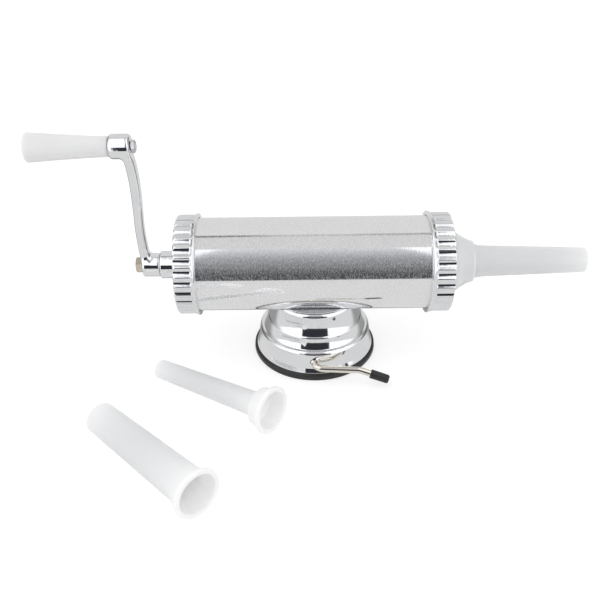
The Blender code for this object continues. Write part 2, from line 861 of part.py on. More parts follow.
def make_cone():
    """Funnel cone: a flange under the ring, a flared wall and a seat for the nozzle's flange."""
    socket = nozzle_flange_radius + seat_gap
    socket_x = nozzle_seat_x + seat_gap
    mouth = nozzle_neck_radius + seat_gap
    lead_in = nozzle_back_x - seat_gap
    outer = []
    for share in np.linspace(1, 0, cone_points):
        x = cone_front_x + cone_length * share
        outer.append((x, cone_radius_at(x)))
    outline = outer + [
        (cone_front_x, cap_bore_radius - running_gap),
        (cone_back_x, cap_bore_radius - running_gap),
        (cone_back_x, cone_root_radius),
        (cone_front_x, cone_radius_at(cone_front_x) - cone_wall),
        (lead_in, socket),
        (socket_x, socket),
        (socket_x, nozzle_seat_radius + seat_gap),
        (cone_mouth_x, mouth),
    ]
    return turned("front_cone", outline, round_sides, white_plastic, nozzle_axis)


def nozzle_outline(root_radius, tip_radius, length):
    """Outline of a nozzle, from its tip at the high end to the flange's back at zero."""
    seat_end = nozzle_flange + nozzle_seat_length
    tube_start = seat_end + nozzle_flare_length
    drop = nozzle_neck_radius - root_radius
    flare = [
        (seat_end + nozzle_flare_length * share, root_radius + drop * (1 - share) ** 2)
        for share in flare_shares
    ]
    seat_bore = nozzle_seat_radius - nozzle_wall
    neck_bore = nozzle_neck_radius - nozzle_wall
    return [
        (length, tip_radius - nozzle_lip_round),
        (length - nozzle_lip_round, tip_radius),
        (tube_start, root_radius),
        *flare,
        (seat_end, nozzle_neck_radius),
        (nozzle_flange, nozzle_seat_radius),
        (nozzle_flange, nozzle_flange_radius),
        (0.0, nozzle_flange_radius),
        (0.0, seat_bore),
        (seat_end, neck_bore),
        (tube_start, root_radius - nozzle_wall),
        (length, tip_radius - nozzle_wall),
    ]


def make_mounted_nozzle():
    """The middle nozzle, seated in the cone."""
    outline = nozzle_outline(medium_root_radius, medium_tip_radius, medium_length)
    return turned(
        "nozzle_medium", outline, small_sides, white_plastic, nozzle_axis,
        (nozzle_back_x, 0.0, 0.0),
    )


def make_spare_nozzle(name, root_radius, tip_radius, length, x, y, heading):
    """A spare nozzle lying on the table on its flange's front edge and its tip."""
    lean = math.atan((nozzle_flange_radius - tip_radius) / (length - nozzle_flange))
    axis = Vector((math.cos(math.radians(heading)), math.sin(math.radians(heading)), 0.0))
    axis = (axis * math.cos(lean) + Vector((0.0, 0.0, -math.sin(lean)))).normalized()
    height = nozzle_flange_radius * math.cos(lean) + nozzle_flange * math.sin(lean)
    outline = nozzle_outline(root_radius, tip_radius, length)
    turn = axis.to_track_quat("Z", "Y").to_euler()
    return turned(name, outline, small_sides, white_plastic, None, (x, y, height), turn)


# Screw, crank and piston

def make_screw_nut():
    """Flanged brass bush with the internal thread, seated in the hub from inside the barrel."""
    bush = turned("screw_nut", [
        (cap_inner_x + seat_gap + nut_flange, 0.0),
        (cap_inner_x + seat_gap + nut_flange, nut_flange_radius),
        (cap_inner_x + seat_gap, nut_flange_radius),
        (cap_inner_x + seat_gap, nut_radius),
        (hub_end_x + seat_gap, nut_radius),
        (hub_end_x + seat_gap, 0.0),
    ], small_sides, brass, barrel_axis)
    start = hub_end_x - thread_lead
    end = cap_inner_x + nut_flange + thread_lead
    thread = threaded_mesh(
        "nut_thread", screw_radius + running_gap, screw_radius - thread_depth + running_gap,
        screw_phase(start), end, running_gap,
    )
    thread = add_object("nut_thread", thread, None, barrel_axis, turn=spin_axis_x)
    return boolean(bush, thread, "DIFFERENCE")


def screw_phase(station):
    """The nearest station below the given one at which the thread starts a whole turn."""
    return boss_inner_x + math.floor((station - boss_inner_x) / thread_lead) * thread_lead


def make_lead_screw():
    """Lead screw with a square end for the crank and a neck that the piston swivels on."""
    neck_end = piston_nut_x - seat_gap
    thread = threaded_mesh(
        "lead_screw", screw_radius, screw_radius - thread_depth, screw_phase(boss_inner_x),
        screw_end_x,
    )
    screw = add_object("lead_screw", thread, bright_steel, crank_axis, turn=spin_axis_x)
    keep = rod(
        "screw_length", screw_radius + overrun,
        (boss_inner_x + seat_gap, 0.0, 0.0), (screw_end_x, 0.0, 0.0), small_sides, None, crank_axis,
    )
    boolean(screw, keep, "INTERSECT")
    nut_end = piston_nut_x + piston_nut_height
    neck = turned("screw_neck", [
        (nut_end, 0.0),
        (nut_end, piston_thread_radius),
        (neck_end, piston_thread_radius),
        (neck_end, screw_neck_radius),
        (screw_end_x - thread_lead, screw_neck_radius),
        (screw_end_x - thread_lead, 0.0),
    ], pin_sides, None, crank_axis)
    boolean(screw, neck, "UNION")
    key_end = boss_outer_x + key_clear
    key_root = boss_inner_x + thread_lead
    key = box_mesh("screw_key", (key_root - key_end, key_side, key_side))
    key = add_object("screw_key", key, None, crank_axis, ((key_root + key_end) / 2, 0.0, 0.0))
    boolean(screw, key, "UNION")
    bore_end = boss_outer_x - seat_gap + crank_bolt_reach + key_clear
    tapped = rod(
        "screw_tapping", crank_bolt_radius + seat_gap,
        (key_end - overrun, 0.0, 0.0), (bore_end, 0.0, 0.0), pin_sides, None, crank_axis,
    )
    return boolean(screw, tapped, "DIFFERENCE")


def arm_mesh(name):
    """The crank's arm: rounded sections, square-shouldered, stacked along a gentle curve."""
    shape = bmesh.new()
    rings = []
    for height, lean, width, depth in arm_station_shares:
        x = lower_boss_x - upper_boss_offset * lean
        ring = []
        for i in range(arm_sides):
            angle = 2 * math.pi * (i + 0.5) / arm_sides
            c, s = math.cos(angle), math.sin(angle)
            ring.append(shape.verts.new((
                x + arm_width * width / 2 * math.copysign(abs(c) ** (2 / arm_squareness), c),
                arm_depth * depth / 2 * math.copysign(abs(s) ** (2 / arm_squareness), s),
                crank_radius * height,
            )))
        rings.append(ring)
    for here, there in zip(rings, rings[1:]):
        for i in range(arm_sides):
            j = (i + 1) % arm_sides
            shape.faces.new((here[i], here[j], there[j], there[i]))
    shape.faces.new(rings[0][::-1])
    shape.faces.new(rings[-1])
    return finish_mesh(name, shape)


def boss_outline(far, near, radius, rounding):
    """Outline of a boss from its near face to its far face, with rounded edges."""
    outline = [(near, 0.0)]
    outline += arc((near - rounding, radius - rounding), (rounding, rounding), 0, 90, 1)
    outline += arc((far + rounding, radius - rounding), (rounding, rounding), 90, 180, 1)
    outline.append((far, 0.0))
    return outline


def make_crank():
    """Cast crank: a boss on the screw's square end, an arm and a boss for the grip's bolt."""
    crank = add_object("crank_arm", arm_mesh("crank_arm"), chrome, crank_axis)
    lower = turned(
        "lower_boss", boss_outline(boss_outer_x, boss_inner_x, lower_boss_radius, boss_round / 2),
        small_sides, None, crank_axis,
    )
    upper = turned(
        "upper_boss", boss_outline(upper_outer_x, upper_inner_x, upper_boss_radius, boss_round),
        small_sides, None, grip_axis,
    )
    boolean(crank, lower, "UNION")
    boolean(crank, upper, "UNION")
    side = key_side + 2 * seat_gap
    hole = box_mesh("key_cut", (lower_boss_length + 2 * overrun, side, side))
    hole = add_object("key_cut", hole, None, crank_axis, (lower_boss_x, 0.0, 0.0))
    boolean(crank, hole, "DIFFERENCE")
    spot_face = rod(
        "spot_face_cut", across_corners(crank_bolt_flats) + seat_gap,
        (boss_outer_x - crank_bolt_head - overrun, 0.0, 0.0), (boss_outer_x, 0.0, 0.0),
        pin_sides, None, crank_axis,
    )
    boolean(crank, spot_face, "DIFFERENCE")
    bore = rod(
        "grip_bore", grip_thread_radius + seat_gap,
        (upper_outer_x - overrun, 0.0, 0.0), (upper_inner_x + overrun, 0.0, 0.0), pin_sides,
        None, grip_axis,
    )
    return boolean(crank, bore, "DIFFERENCE")


def make_crank_bolt():
    """Hexagon bolt in the end of the lead screw, which holds the crank on."""
    head_near = boss_outer_x - seat_gap
    head = rod(
        "crank_bolt", across_corners(crank_bolt_flats),
        (head_near - crank_bolt_head, 0.0, 0.0), (head_near, 0.0, 0.0), 6, zinc_steel, crank_axis,
    )
    shank = rod(
        "crank_bolt_shank", crank_bolt_radius,
        (head_near - crank_bolt_head / 2, 0.0, 0.0), (head_near + crank_bolt_reach, 0.0, 0.0),
        pin_sides, None, crank_axis,
    )
    return boolean(head, shank, "UNION")


def make_grip():
    """Flared plastic grip, free to spin on its shoulder bolt, and the nut behind the boss."""
    reach = grip_far_x + grip_recess
    bore = grip_bolt_radius + running_gap
    recess = grip_head_radius + running_gap
    dome = grip_outer_radius / 2
    outline = [(grip_near_x, bore)]
    outline += [(grip_near_x, grip_inner_radius - sleeve_round)]
    outline += [(grip_near_x - sleeve_round, grip_inner_radius)]
    for share in grip_swell_shares:
        swell = grip_inner_radius + (grip_outer_radius - grip_inner_radius) * share ** grip_swell_power
        outline.append((grip_near_x - (grip_length - dome) * share, swell))
    outline += arc((grip_far_x + dome, recess), (dome, grip_outer_radius - recess), 90, 180, 2)
    outline += [(reach, recess), (reach, bore)]
    turned("grip", outline, small_sides, white_plastic, grip_axis)
    head_face = reach - running_gap
    nut_far = upper_inner_x + seat_gap + grip_nut_height
    turned("grip_bolt", [
        (nut_far, 0.0),
        (nut_far, grip_thread_radius),
        (upper_outer_x - seat_gap, grip_thread_radius),
        (upper_outer_x - seat_gap, grip_bolt_radius),
        (head_face, grip_bolt_radius),
        (head_face, grip_head_radius),
        (head_face - grip_head, grip_head_radius),
        (head_face - grip_head, 0.0),
    ], pin_sides, bright_steel, grip_axis)
    nut = rod(
        "grip_nut", across_corners(grip_nut_flats),
        (upper_inner_x + seat_gap, 0.0, 0.0), (nut_far, 0.0, 0.0), 6, bright_steel, grip_axis,
    )
    hole = rod(
        "grip_nut_cut", grip_thread_radius + seat_gap,
        (upper_inner_x - overrun, 0.0, 0.0), (nut_far + overrun, 0.0, 0.0), pin_sides, None,
        grip_axis,
    )
    boolean(nut, hole, "DIFFERENCE")


def make_piston():
    """Plastic piston with its seal, two washers and the nut on the end of the lead screw."""
    rim = bore_radius - running_gap
    floor = rim - seal_depth
    middle = (piston_front_x + piston_back_x) / 2
    bore = screw_neck_radius + running_gap
    turned("piston_head", [
        (piston_front_x, piston_recess_radius),
        (piston_front_x, rim - piston_edge_round),
        (piston_front_x - piston_edge_round, rim),
        (middle + seal_width / 2, rim),
        (middle + seal_width / 2, floor),
        (middle - seal_width / 2, floor),
        (middle - seal_width / 2, rim),
        (piston_back_x + piston_edge_round, rim),
        (piston_back_x, rim - piston_edge_round),
        (piston_back_x, piston_hub_radius),
        (piston_hub_x, piston_hub_radius),
        (piston_hub_x, bore),
        (recess_floor_x, bore),
        (recess_floor_x, piston_recess_radius),
    ], round_sides, piston_plastic, plunger_axis)
    seal_half = seal_width / 2 - seat_gap
    crown = bore_radius - seat_gap
    turned("piston_seal", [
        (middle + seal_half, floor + seat_gap),
        (middle + seal_half, rim),
        (middle + seal_half / 2, crown),
        (middle - seal_half / 2, crown),
        (middle - seal_half, rim),
        (middle - seal_half, floor + seat_gap),
    ], round_sides, black_rubber, plunger_axis)
    front = recess_floor_x + seat_gap
    back = piston_hub_x - seat_gap
    hole = rod(
        "washer_cut", bore, (screw_end_x - overrun, 0.0, 0.0), (piston_front_x, 0.0, 0.0),
        pin_sides, None, plunger_axis,
    )
    for name, low in (("piston_washer_front", front), ("piston_washer_rear", back - washer_height)):
        washer = rod(
            name, washer_radius, (low, 0.0, 0.0), (low + washer_height, 0.0, 0.0), pin_sides,
            bright_steel, plunger_axis,
        )
        boolean(washer, hole, "DIFFERENCE")
    nut = rod(
        "piston_nut", across_corners(piston_nut_flats),
        (piston_nut_x, 0.0, 0.0), (piston_nut_x + piston_nut_height, 0.0, 0.0), 6, bright_steel,
        crank_axis,
    )
    nut_hole = rod(
        "piston_nut_cut", piston_thread_radius + seat_gap,
        (piston_nut_x - overrun, 0.0, 0.0), (piston_nut_x + piston_nut_height + overrun, 0.0, 0.0),
        pin_sides, None, crank_axis,
    )
    boolean(nut, nut_hole, "DIFFERENCE")


make_pad()
make_dome()
for number, place in enumerate(stud_places(), start=1):
    make_barrel_fixing(number, place)
make_lever()
make_pull_stud()
make_barrel()
make_front_ring()
make_rear_cap()
make_cone()
make_mounted_nozzle()
make_spare_nozzle(
    "nozzle_large", large_root_radius, large_tip_radius, large_length,
    large_place_x, large_place_y, large_heading,
)
make_spare_nozzle(
    "nozzle_small", small_root_radius, small_tip_radius, small_length,
    small_place_x, small_place_y, small_heading,
)
make_screw_nut()
make_lead_screw()
make_crank()
make_crank_bolt()
make_grip()
make_piston()
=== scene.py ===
"""Looks of the hand-cranked sausage stuffer on a suction base.

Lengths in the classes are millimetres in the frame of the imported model: +Z up, +X along the
barrel towards the nozzle, the origin under the middle of the base on the table. The meshes are
metres.
"""

import logging
import math
from dataclasses import dataclass
from enum import Enum
from typing import Sequence

import bpy
import numpy as np
from mathutils import Matrix, Vector


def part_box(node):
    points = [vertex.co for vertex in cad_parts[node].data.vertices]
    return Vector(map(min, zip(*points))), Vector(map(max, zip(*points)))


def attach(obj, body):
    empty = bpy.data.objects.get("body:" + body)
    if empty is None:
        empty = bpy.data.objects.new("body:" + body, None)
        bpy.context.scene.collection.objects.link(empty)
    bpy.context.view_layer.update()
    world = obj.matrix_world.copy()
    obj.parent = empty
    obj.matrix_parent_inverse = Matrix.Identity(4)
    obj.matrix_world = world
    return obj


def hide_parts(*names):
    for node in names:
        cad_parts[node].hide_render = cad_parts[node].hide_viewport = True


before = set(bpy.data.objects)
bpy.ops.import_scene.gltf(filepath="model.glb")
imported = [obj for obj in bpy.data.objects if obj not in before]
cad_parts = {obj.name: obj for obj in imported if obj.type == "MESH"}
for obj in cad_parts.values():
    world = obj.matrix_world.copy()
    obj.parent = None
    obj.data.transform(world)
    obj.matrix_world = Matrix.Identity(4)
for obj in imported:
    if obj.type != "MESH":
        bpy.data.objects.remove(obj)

logging.basicConfig(level=logging.INFO, format="%(message)s")
log = logging.getLogger("stuffer")

Array = np.ndarray
Color = tuple[float, float, float]
Vector3 = tuple[float, float, float]

MM = 0.001
UP = np.array((0.0, 0.0, 1.0))
BARREL_HEIGHT = 76.0
WORTH_A_WORD = 0.6


class Body(Enum):
    """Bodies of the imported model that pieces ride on."""

    STAND = "stand"
    PLUNGER = "plunger"
    CRANK = "screw_crank"
    GRIP = "handle_grip"
    NOZZLE = "nozzle_set"
    RING = "ring"
    LEVER = "lever"
    PULL = "pull"


class Slot(Enum):
    """Material slots of the record."""

    ALUMINIUM = "satin_aluminium"
    CHROME = "chrome"
    PLASTIC = "white_plastic"
    RUBBER = "black_rubber"
    NICKEL = "wire_nickel"
    ZINC = "zinc_steel"
    STEEL = "bright_steel"
    BRASS = "brass"
    PISTON = "piston_plastic"


# Outlines


@dataclass(frozen=True)
class Corner:
    """A corner of an outline: its station along the axis, its radius and its fillet."""

    station: float
    radius: float
    fillet: float = 0.0


def unit(vector: Array) -> Array:
    """A vector divided by its length.

    Args:
        vector: one vector, or an array of them in the last axis.

    Returns:
        The same array at length one.
    """
    return vector / np.linalg.norm(vector, axis=-1, keepdims=True)


def corner_arc(before: Array, here: Array, after: Array, fillet: float, steps: int) -> Array:
    """The arc that rounds a corner, with a point just beyond it on each side.

    It touches both sides: it starts fillet / tan(half the corner's angle) from the corner, or
    nearer where a side is short. With s its sweep, its points about its middle are
    (sin((1 - t) s) * start + sin(t s) * end) / sin(s). The points beyond it keep the flats flat.

    Args:
        before: the point before the corner.
        here: the corner.
        after: the point after it.
        fillet: the arc's radius.
        steps: points along the arc.

    Returns:
        The points in order, as rows.
    """
    before, after = before - here, after - here
    room = min(np.linalg.norm(before), np.linalg.norm(after))
    before, after = unit(before), unit(after)
    half = 0.5 * math.acos(float(np.clip(before @ after, -1.0, 1.0)))
    run = min(fillet / math.tan(half), 0.47 * room)
    radius = run * math.tan(half)
    middle = here + unit(before + after) * radius / math.sin(half)
    start, end = here + before * run - middle, here + after * run - middle
    sweep = math.pi - 2.0 * half
    share = np.linspace(0.0, 1.0, steps)[:, None]
    arc = (np.sin((1.0 - share) * sweep) * start + np.sin(share * sweep) * end) / math.sin(sweep)
    lead = min(run + 0.35 * radius, 0.5 * room)
    return np.vstack([here + before * lead, middle + arc, here + after * lead])


def rounded(corners: Sequence[Corner], closed: bool, steps: int = 7) -> Array:
    """An outline with each corner replaced by its fillet.

    Args:
        corners: the outline's corners in order.
        closed: whether the last corner joins the first.
        steps: points along each fillet.

    Returns:
        An array of (station, radius) rows.
    """
    points = np.array([(corner.station, corner.radius) for corner in corners])
    pieces = []
    for index, corner in enumerate(corners):
        at_end = not closed and index in (0, len(corners) - 1)
        if corner.fillet == 0.0 or at_end:
            pieces.append(points[index][None])
            continue
        after = points[(index + 1) % len(corners)]
        pieces.append(corner_arc(points[index - 1], points[index], after, corner.fillet, steps))
    return np.vstack(pieces)


class Contour:
    """An outer side drawn from the top down by the lean of its normal above the horizontal.

    A step ds moves the station by -cos(lean) ds and the radius by sin(lean) ds.
    """

    def __init__(self, station: float, radius: float, lean: float) -> None:
        """Start at a point with a lean in degrees."""
        self.points: list[Array] = [np.array([[station, radius]])]
        self.lean = lean

    @property
    def end(self) -> Array:
        """The last point so far."""
        return self.points[-1][-1]

    def arc(self, radius: float, lean: float, steps: int = 9) -> "Contour":
        """Turn the normal to a new lean along an arc.

        Args:
            radius: the arc's radius.
            lean: the normal's lean at its end, in degrees.
            steps: points along the arc.

        Returns:
            The contour itself.
        """
        angles = np.radians(np.linspace(self.lean, lean, steps + 1)[1:])
        first = math.radians(self.lean)
        way = math.copysign(radius, lean - self.lean)
        down = -way * (np.sin(angles) - math.sin(first))
        out = way * (math.cos(first) - np.cos(angles))
        self.points.append(self.end + np.stack([down, out], axis=1))
        self.lean = lean
        return self

    def straight(self, station: float, steps: int = 2) -> "Contour":
        """Run on without turning, down to a station.

        Args:
            station: where the straight ends.
            steps: points along it.

        Returns:
            The contour itself.
        """
        drop = self.end[0] - station
        share = np.linspace(0.0, 1.0, steps + 1)[1:, None]
        step = np.array([-drop, drop * math.tan(math.radians(self.lean))])
        self.points.append(self.end + share * step)
        return self

    def to(self, station: float, radius: float) -> "Contour":
        """Jump to a point in a straight line."""
        self.points.append(np.array([[station, radius]]))
        return self

    def outline(self) -> Array:
        """All the points as (station, radius) rows."""
        return np.vstack(self.points)


# Surfaces


@dataclass
class Skin:
    """A closed surface: points in millimetres, four-sided faces and three-sided faces."""

    points: Array
    quads: Array
    triangles: Array

    def facing_out(self) -> "Skin":
        """The skin with its faces turned outwards, judged by the sign of its volume.

        The volume is one sixth of the sum of a . (b x c) over the triangles.

        Returns:
            The skin, turned inside out where it was the wrong way round.
        """
        halves = np.vstack([self.quads[:, (0, 1, 2)], self.quads[:, (0, 2, 3)], self.triangles])
        a, b, c = (self.points[halves[:, i]] for i in range(3))
        if float(np.einsum("ij,ij->", a, np.cross(b, c))) < 0.0:
            return Skin(self.points, self.quads[:, ::-1], self.triangles[:, ::-1])
        return self


def grid_skin(rows: Array, ring: bool) -> Skin:
    """Faces over a grid of points whose columns close round.

    Args:
        rows: points as (row, column, 3).
        ring: whether the last row joins the first. Otherwise the two end rows are poles.

    Returns:
        The closed skin.
    """
    poles = np.zeros((0, 3))
    if not ring:
        poles = np.stack([rows[0].mean(axis=0), rows[-1].mean(axis=0)])
        rows = rows[1:-1]
    number = np.arange(rows.shape[0] * rows.shape[1]).reshape(rows.shape[:2])
    if ring:
        number = np.vstack([number, number[:1]])
    beside = np.roll(number, -1, axis=1)
    quads = np.stack([number[:-1], beside[:-1], beside[1:], number[1:]], axis=-1).reshape(-1, 4)
    points = np.vstack([rows.reshape(-1, 3), poles])
    triangles = np.zeros((0, 3), int)
    if not ring:
        first = np.full(rows.shape[1], len(points) - 2)
        last = first + 1
        triangles = np.vstack([
            np.stack([first, beside[0], number[0]], axis=1),
            np.stack([last, number[-1], beside[-1]], axis=1),
        ])
    return Skin(points, quads, triangles).facing_out()


@dataclass(frozen=True)
class Axis:
    """A line that shapes are turned about, with the side where the angle is zero."""

    origin: Vector3 = (0.0, 0.0, 0.0)
    along: Vector3 = (0.0, 0.0, 1.0)
    side: Vector3 = (0.0, -1.0, 0.0)

    def place(self, station: Array, radius: Array, angle: Array) -> Array:
        """Points at origin + station * along + radius * (cos * side + sin * third).

        Args:
            station: distance along the axis.
            radius: distance from it.
            angle: turn about it from the side, in radians.

        Returns:
            The points, with a last axis of three.
        """
        along = unit(np.array(self.along))
        side = np.array(self.side) - along * (np.array(self.side) @ along)
        side = unit(side)
        third = np.cross(along, side)
        station, radius, angle = np.broadcast_arrays(station, radius, angle)
        turned = np.cos(angle)[..., None] * side + np.sin(angle)[..., None] * third
        return np.array(self.origin) + station[..., None] * along + radius[..., None] * turned


def level_axis(height: float, start: float = 0.0, side: Vector3 = (0.0, -1.0, 0.0)) -> Axis:
    """An axis that runs along +X at a height."""
    return Axis((start, 0.0, height), (1.0, 0.0, 0.0), side)


def around(columns: int) -> Array:
    """Equal angles once round a circle, as a row."""
    return np.linspace(0.0, 2.0 * math.pi, columns, endpoint=False)[None, :]


def lathe(outline: Array, axis: Axis, columns: int = 128) -> Skin:
    """Turn an outline about an axis.

    Args:
        outline: (station, radius) rows. It starts and ends on the axis, or closes on itself.
        axis: the axis.
        columns: points round it.

    Returns:
        The closed skin.
    """
    rows = axis.place(outline[:, :1], outline[:, 1:], around(columns))
    return grid_skin(rows, ring=bool(outline[0, 1] > 0.0))


def rod(low: float, high: float, radius: float, axis: Axis, columns: int) -> Skin:
    """A round rod between two stations of an axis, to cut a bore with."""
    return lathe(np.array([(low, 0.0), (low, radius), (high, radius), (high, 0.0)]), axis, columns)


def hexagon(flats: float, angle: Array) -> Array:
    """Radius of a hexagon in each direction: half its flats / cos(angle from the flat)."""
    sector = math.pi / 3.0
    return flats / 2.0 / np.cos(np.mod(angle + sector / 2.0, sector) - sector / 2.0)


def hexagon_outline(
    flats: float, low: float, high: float, bore: float, columns: int = 96
) -> tuple[Array, Array]:
    """Rows of a chamfered hexagon, bored through or solid.

    Each chamfer is the cone that meets the flats at their middles, at 30 degrees to the face.

    Args:
        flats: width across the flats.
        low: station of its low face.
        high: station of its high face.
        bore: radius of the hole, or zero.
        columns: points round it.

    Returns:
        Stations and radii, each as (row, column).
    """
    angle = around(columns)
    corner = hexagon(flats, angle)
    circle = np.full_like(corner, flats / 2.0 * 0.96)
    drop = (corner - circle) * math.tan(math.radians(30.0))
    inner = np.full_like(corner, bore)
    level = np.zeros_like(corner)
    stations = np.vstack([
        level + low, level + low, low + drop, high - drop, level + high, level + high])
    return stations, np.vstack([inner, circle, corner, corner, circle, inner])


def hexagon_skin(axis: Axis, flats: float, low: float, high: float, bore: float = 0.0) -> Skin:
    """A chamfered hexagonal nut about an axis.

    Args:
        axis: the axis.
        flats: width across the flats.
        low: station of its low face.
        high: station of its high face.
        bore: radius of the hole, or zero.

    Returns:
        The closed skin.
    """
    stations, radii = hexagon_outline(flats, low, high, bore)
    rows = axis.place(stations, radii, around(stations.shape[1]))
    return grid_skin(rows, ring=bore > 0.0)


def bent_path(points: Sequence[Vector3], bends: Sequence[float], steps: int = 14) -> Array:
    """A path through points with an arc at each inner one.

    Args:
        points: the corners of the path.
        bends: the arc's radius at each inner corner.
        steps: points along each arc.

    Returns:
        The path's points.
    """
    corners = np.array(points)
    path = [corners[:1]]
    for index, bend in enumerate(bends, start=1):
        path.append(corner_arc(*corners[index - 1:index + 2], bend, steps)[1:-1])
    return np.vstack([*path, corners[-1:]])


def tube(path: Array, radius: float, edge: float, columns: int = 40) -> Skin:
    """A round rod along a path, its ends flat with a rounded edge.

    The section is carried from point to point without twist: at each step the side vector
    loses its part along the new tangent.

    Args:
        path: points of the centre line.
        radius: the rod's radius.
        edge: the rounding at its ends.
        columns: points round it.

    Returns:
        The closed skin.
    """
    first, last = unit(path[1] - path[0]), unit(path[-1] - path[-2])
    turn = np.linspace(0.0, math.pi / 2.0, 5)
    head = path[0] + first * (edge * (1.0 - np.cos(turn)))[:, None]
    tail = path[-1] - last * (edge * (1.0 - np.cos(turn[::-1])))[:, None]
    swell = radius - edge + edge * np.sin(turn)
    centers = np.vstack([path[:1], head, path[1:-1], tail, path[-1:]])
    radii = np.concatenate([[0.0], swell, np.full(len(path) - 2, radius), swell[::-1], [0.0]])
    tangents = np.vstack([
        np.tile(first, (6, 1)), unit(path[2:] - path[:-2]), np.tile(last, (6, 1)),
    ])
    sides = np.zeros_like(tangents)
    side = np.cross(tangents[0], UP)
    for index, tangent in enumerate(tangents):
        side = unit(side - tangent * (side @ tangent))
        sides[index] = side
    thirds = np.cross(tangents, sides)
    angle = around(columns)[..., None]
    ring = np.cos(angle) * sides[:, None] + np.sin(angle) * thirds[:, None]
    return grid_skin(centers[:, None] + radii[:, None, None] * ring, ring=False)


# Meshes


def mesh_from(name: str, skin: Skin, sharp: float = 32.0) -> bpy.types.Mesh:
    """Put a skin into a mesh, smooth but for edges sharper than an angle.

    Args:
        name: the mesh's name.
        skin: the surface, in millimetres.
        sharp: edges that turn by more degrees than this stay sharp.

    Returns:
        The mesh, in metres.
    """
    mesh = bpy.data.meshes.new(name)
    corners = np.concatenate([skin.quads.ravel(), skin.triangles.ravel()]).astype(np.int32)
    sizes = np.repeat([4, 3], [len(skin.quads), len(skin.triangles)])
    starts = np.concatenate([[0], np.cumsum(sizes)[:-1]]).astype(np.int32)
    mesh.vertices.add(len(skin.points))
    mesh.loops.add(len(corners))
    mesh.polygons.add(len(sizes))
    mesh.vertices.foreach_set("co", (skin.points * MM).astype(np.float32).ravel())
    mesh.loops.foreach_set("vertex_index", corners)
    mesh.polygons.foreach_set("loop_start", starts)
    mesh.update(calc_edges=True)
    mesh.validate()
    mesh.shade_smooth()
    mesh.set_sharp_from_angle(angle=math.radians(sharp))
    return mesh


def make_object(name: str, mesh: bpy.types.Mesh) -> bpy.types.Object:
    """An object for a mesh, linked to the scene.

    Args:
        name: the object's name.
        mesh: its mesh.

    Returns:
        The object.
    """
    obj = bpy.data.objects.new(name, mesh)
    bpy.context.scene.collection.objects.link(obj)
    return obj


def settle(obj: bpy.types.Object, sharp: float = 32.0) -> None:
    """Replace an object's mesh by what its modifiers make of it.

    Args:
        obj: the object.
        sharp: edges that turn by more degrees than this stay sharp.
    """
    graph = bpy.context.evaluated_depsgraph_get()
    made = bpy.data.meshes.new_from_object(obj.evaluated_get(graph))
    obj.modifiers.clear()
    old = obj.data
    obj.data = made
    bpy.data.meshes.remove(old)
    made.name = obj.name
    made.shade_smooth()
    made.set_sharp_from_angle(angle=math.radians(sharp))


def cut(obj: bpy.types.Object, tools: Sequence[Skin], sharp: float = 32.0) -> None:
    """Cut closed shapes out of a piece.

    Args:
        obj: the piece.
        tools: the shapes to take away.
        sharp: edges that turn by more degrees than this stay sharp.
    """
    cutters = []
    for number, skin in enumerate(tools):
        cutter = make_object(f"{obj.name}_cut_{number}", mesh_from("cutter", skin))
        change = obj.modifiers.new(cutter.name, "BOOLEAN")
        change.operation = "DIFFERENCE"
        change.solver = "EXACT"
        change.object = cutter
        cutters.append(cutter)
    bpy.context.view_layer.update()
    settle(obj, sharp)
    for cutter in cutters:
        bpy.data.objects.remove(cutter, do_unlink=True)


def finish_piece(obj: bpy.types.Object, finish: "Finish", body: Body, node: str) -> None:
    """Dress a piece, hang it on its body and let it stand for its node.

    Args:
        obj: the finished piece, at the origin.
        finish: its finish, which knows its slot.
        body: the body that carries it.
        node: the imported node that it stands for.
    """
    obj.data.materials.clear()
    obj.data.materials.append(finish.material())
    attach(obj, body.value)
    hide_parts(node)
    corners = np.array(obj.bound_box) / MM
    low, high = corners.min(axis=0), corners.max(axis=0)
    log.info(
        "%s: %d faces, %.1f x %.1f x %.1f mm", obj.name, len(obj.data.polygons), *(high - low)
    )
    node_low, node_high = (np.array(corner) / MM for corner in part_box(node))
    off = max(float((node_low - low).max()), float((high - node_high).max()))
    if off > WORTH_A_WORD:
        log.info("  stands %.2f mm outside %s", off, node)


def make_piece(
    name: str, skin: Skin, finish: "Finish", body: Body, node: str, sharp: float = 32.0
) -> None:
    """Make a piece from its skin and finish it.

    Args:
        name: the piece's name.
        skin: its surface.
        finish: its finish.
        body: the body that carries it.
        node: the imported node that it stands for.
        sharp: edges that turn by more degrees than this stay sharp.
    """
    finish_piece(make_object(name, mesh_from(name, skin, sharp)), finish, body, node)


# Materials


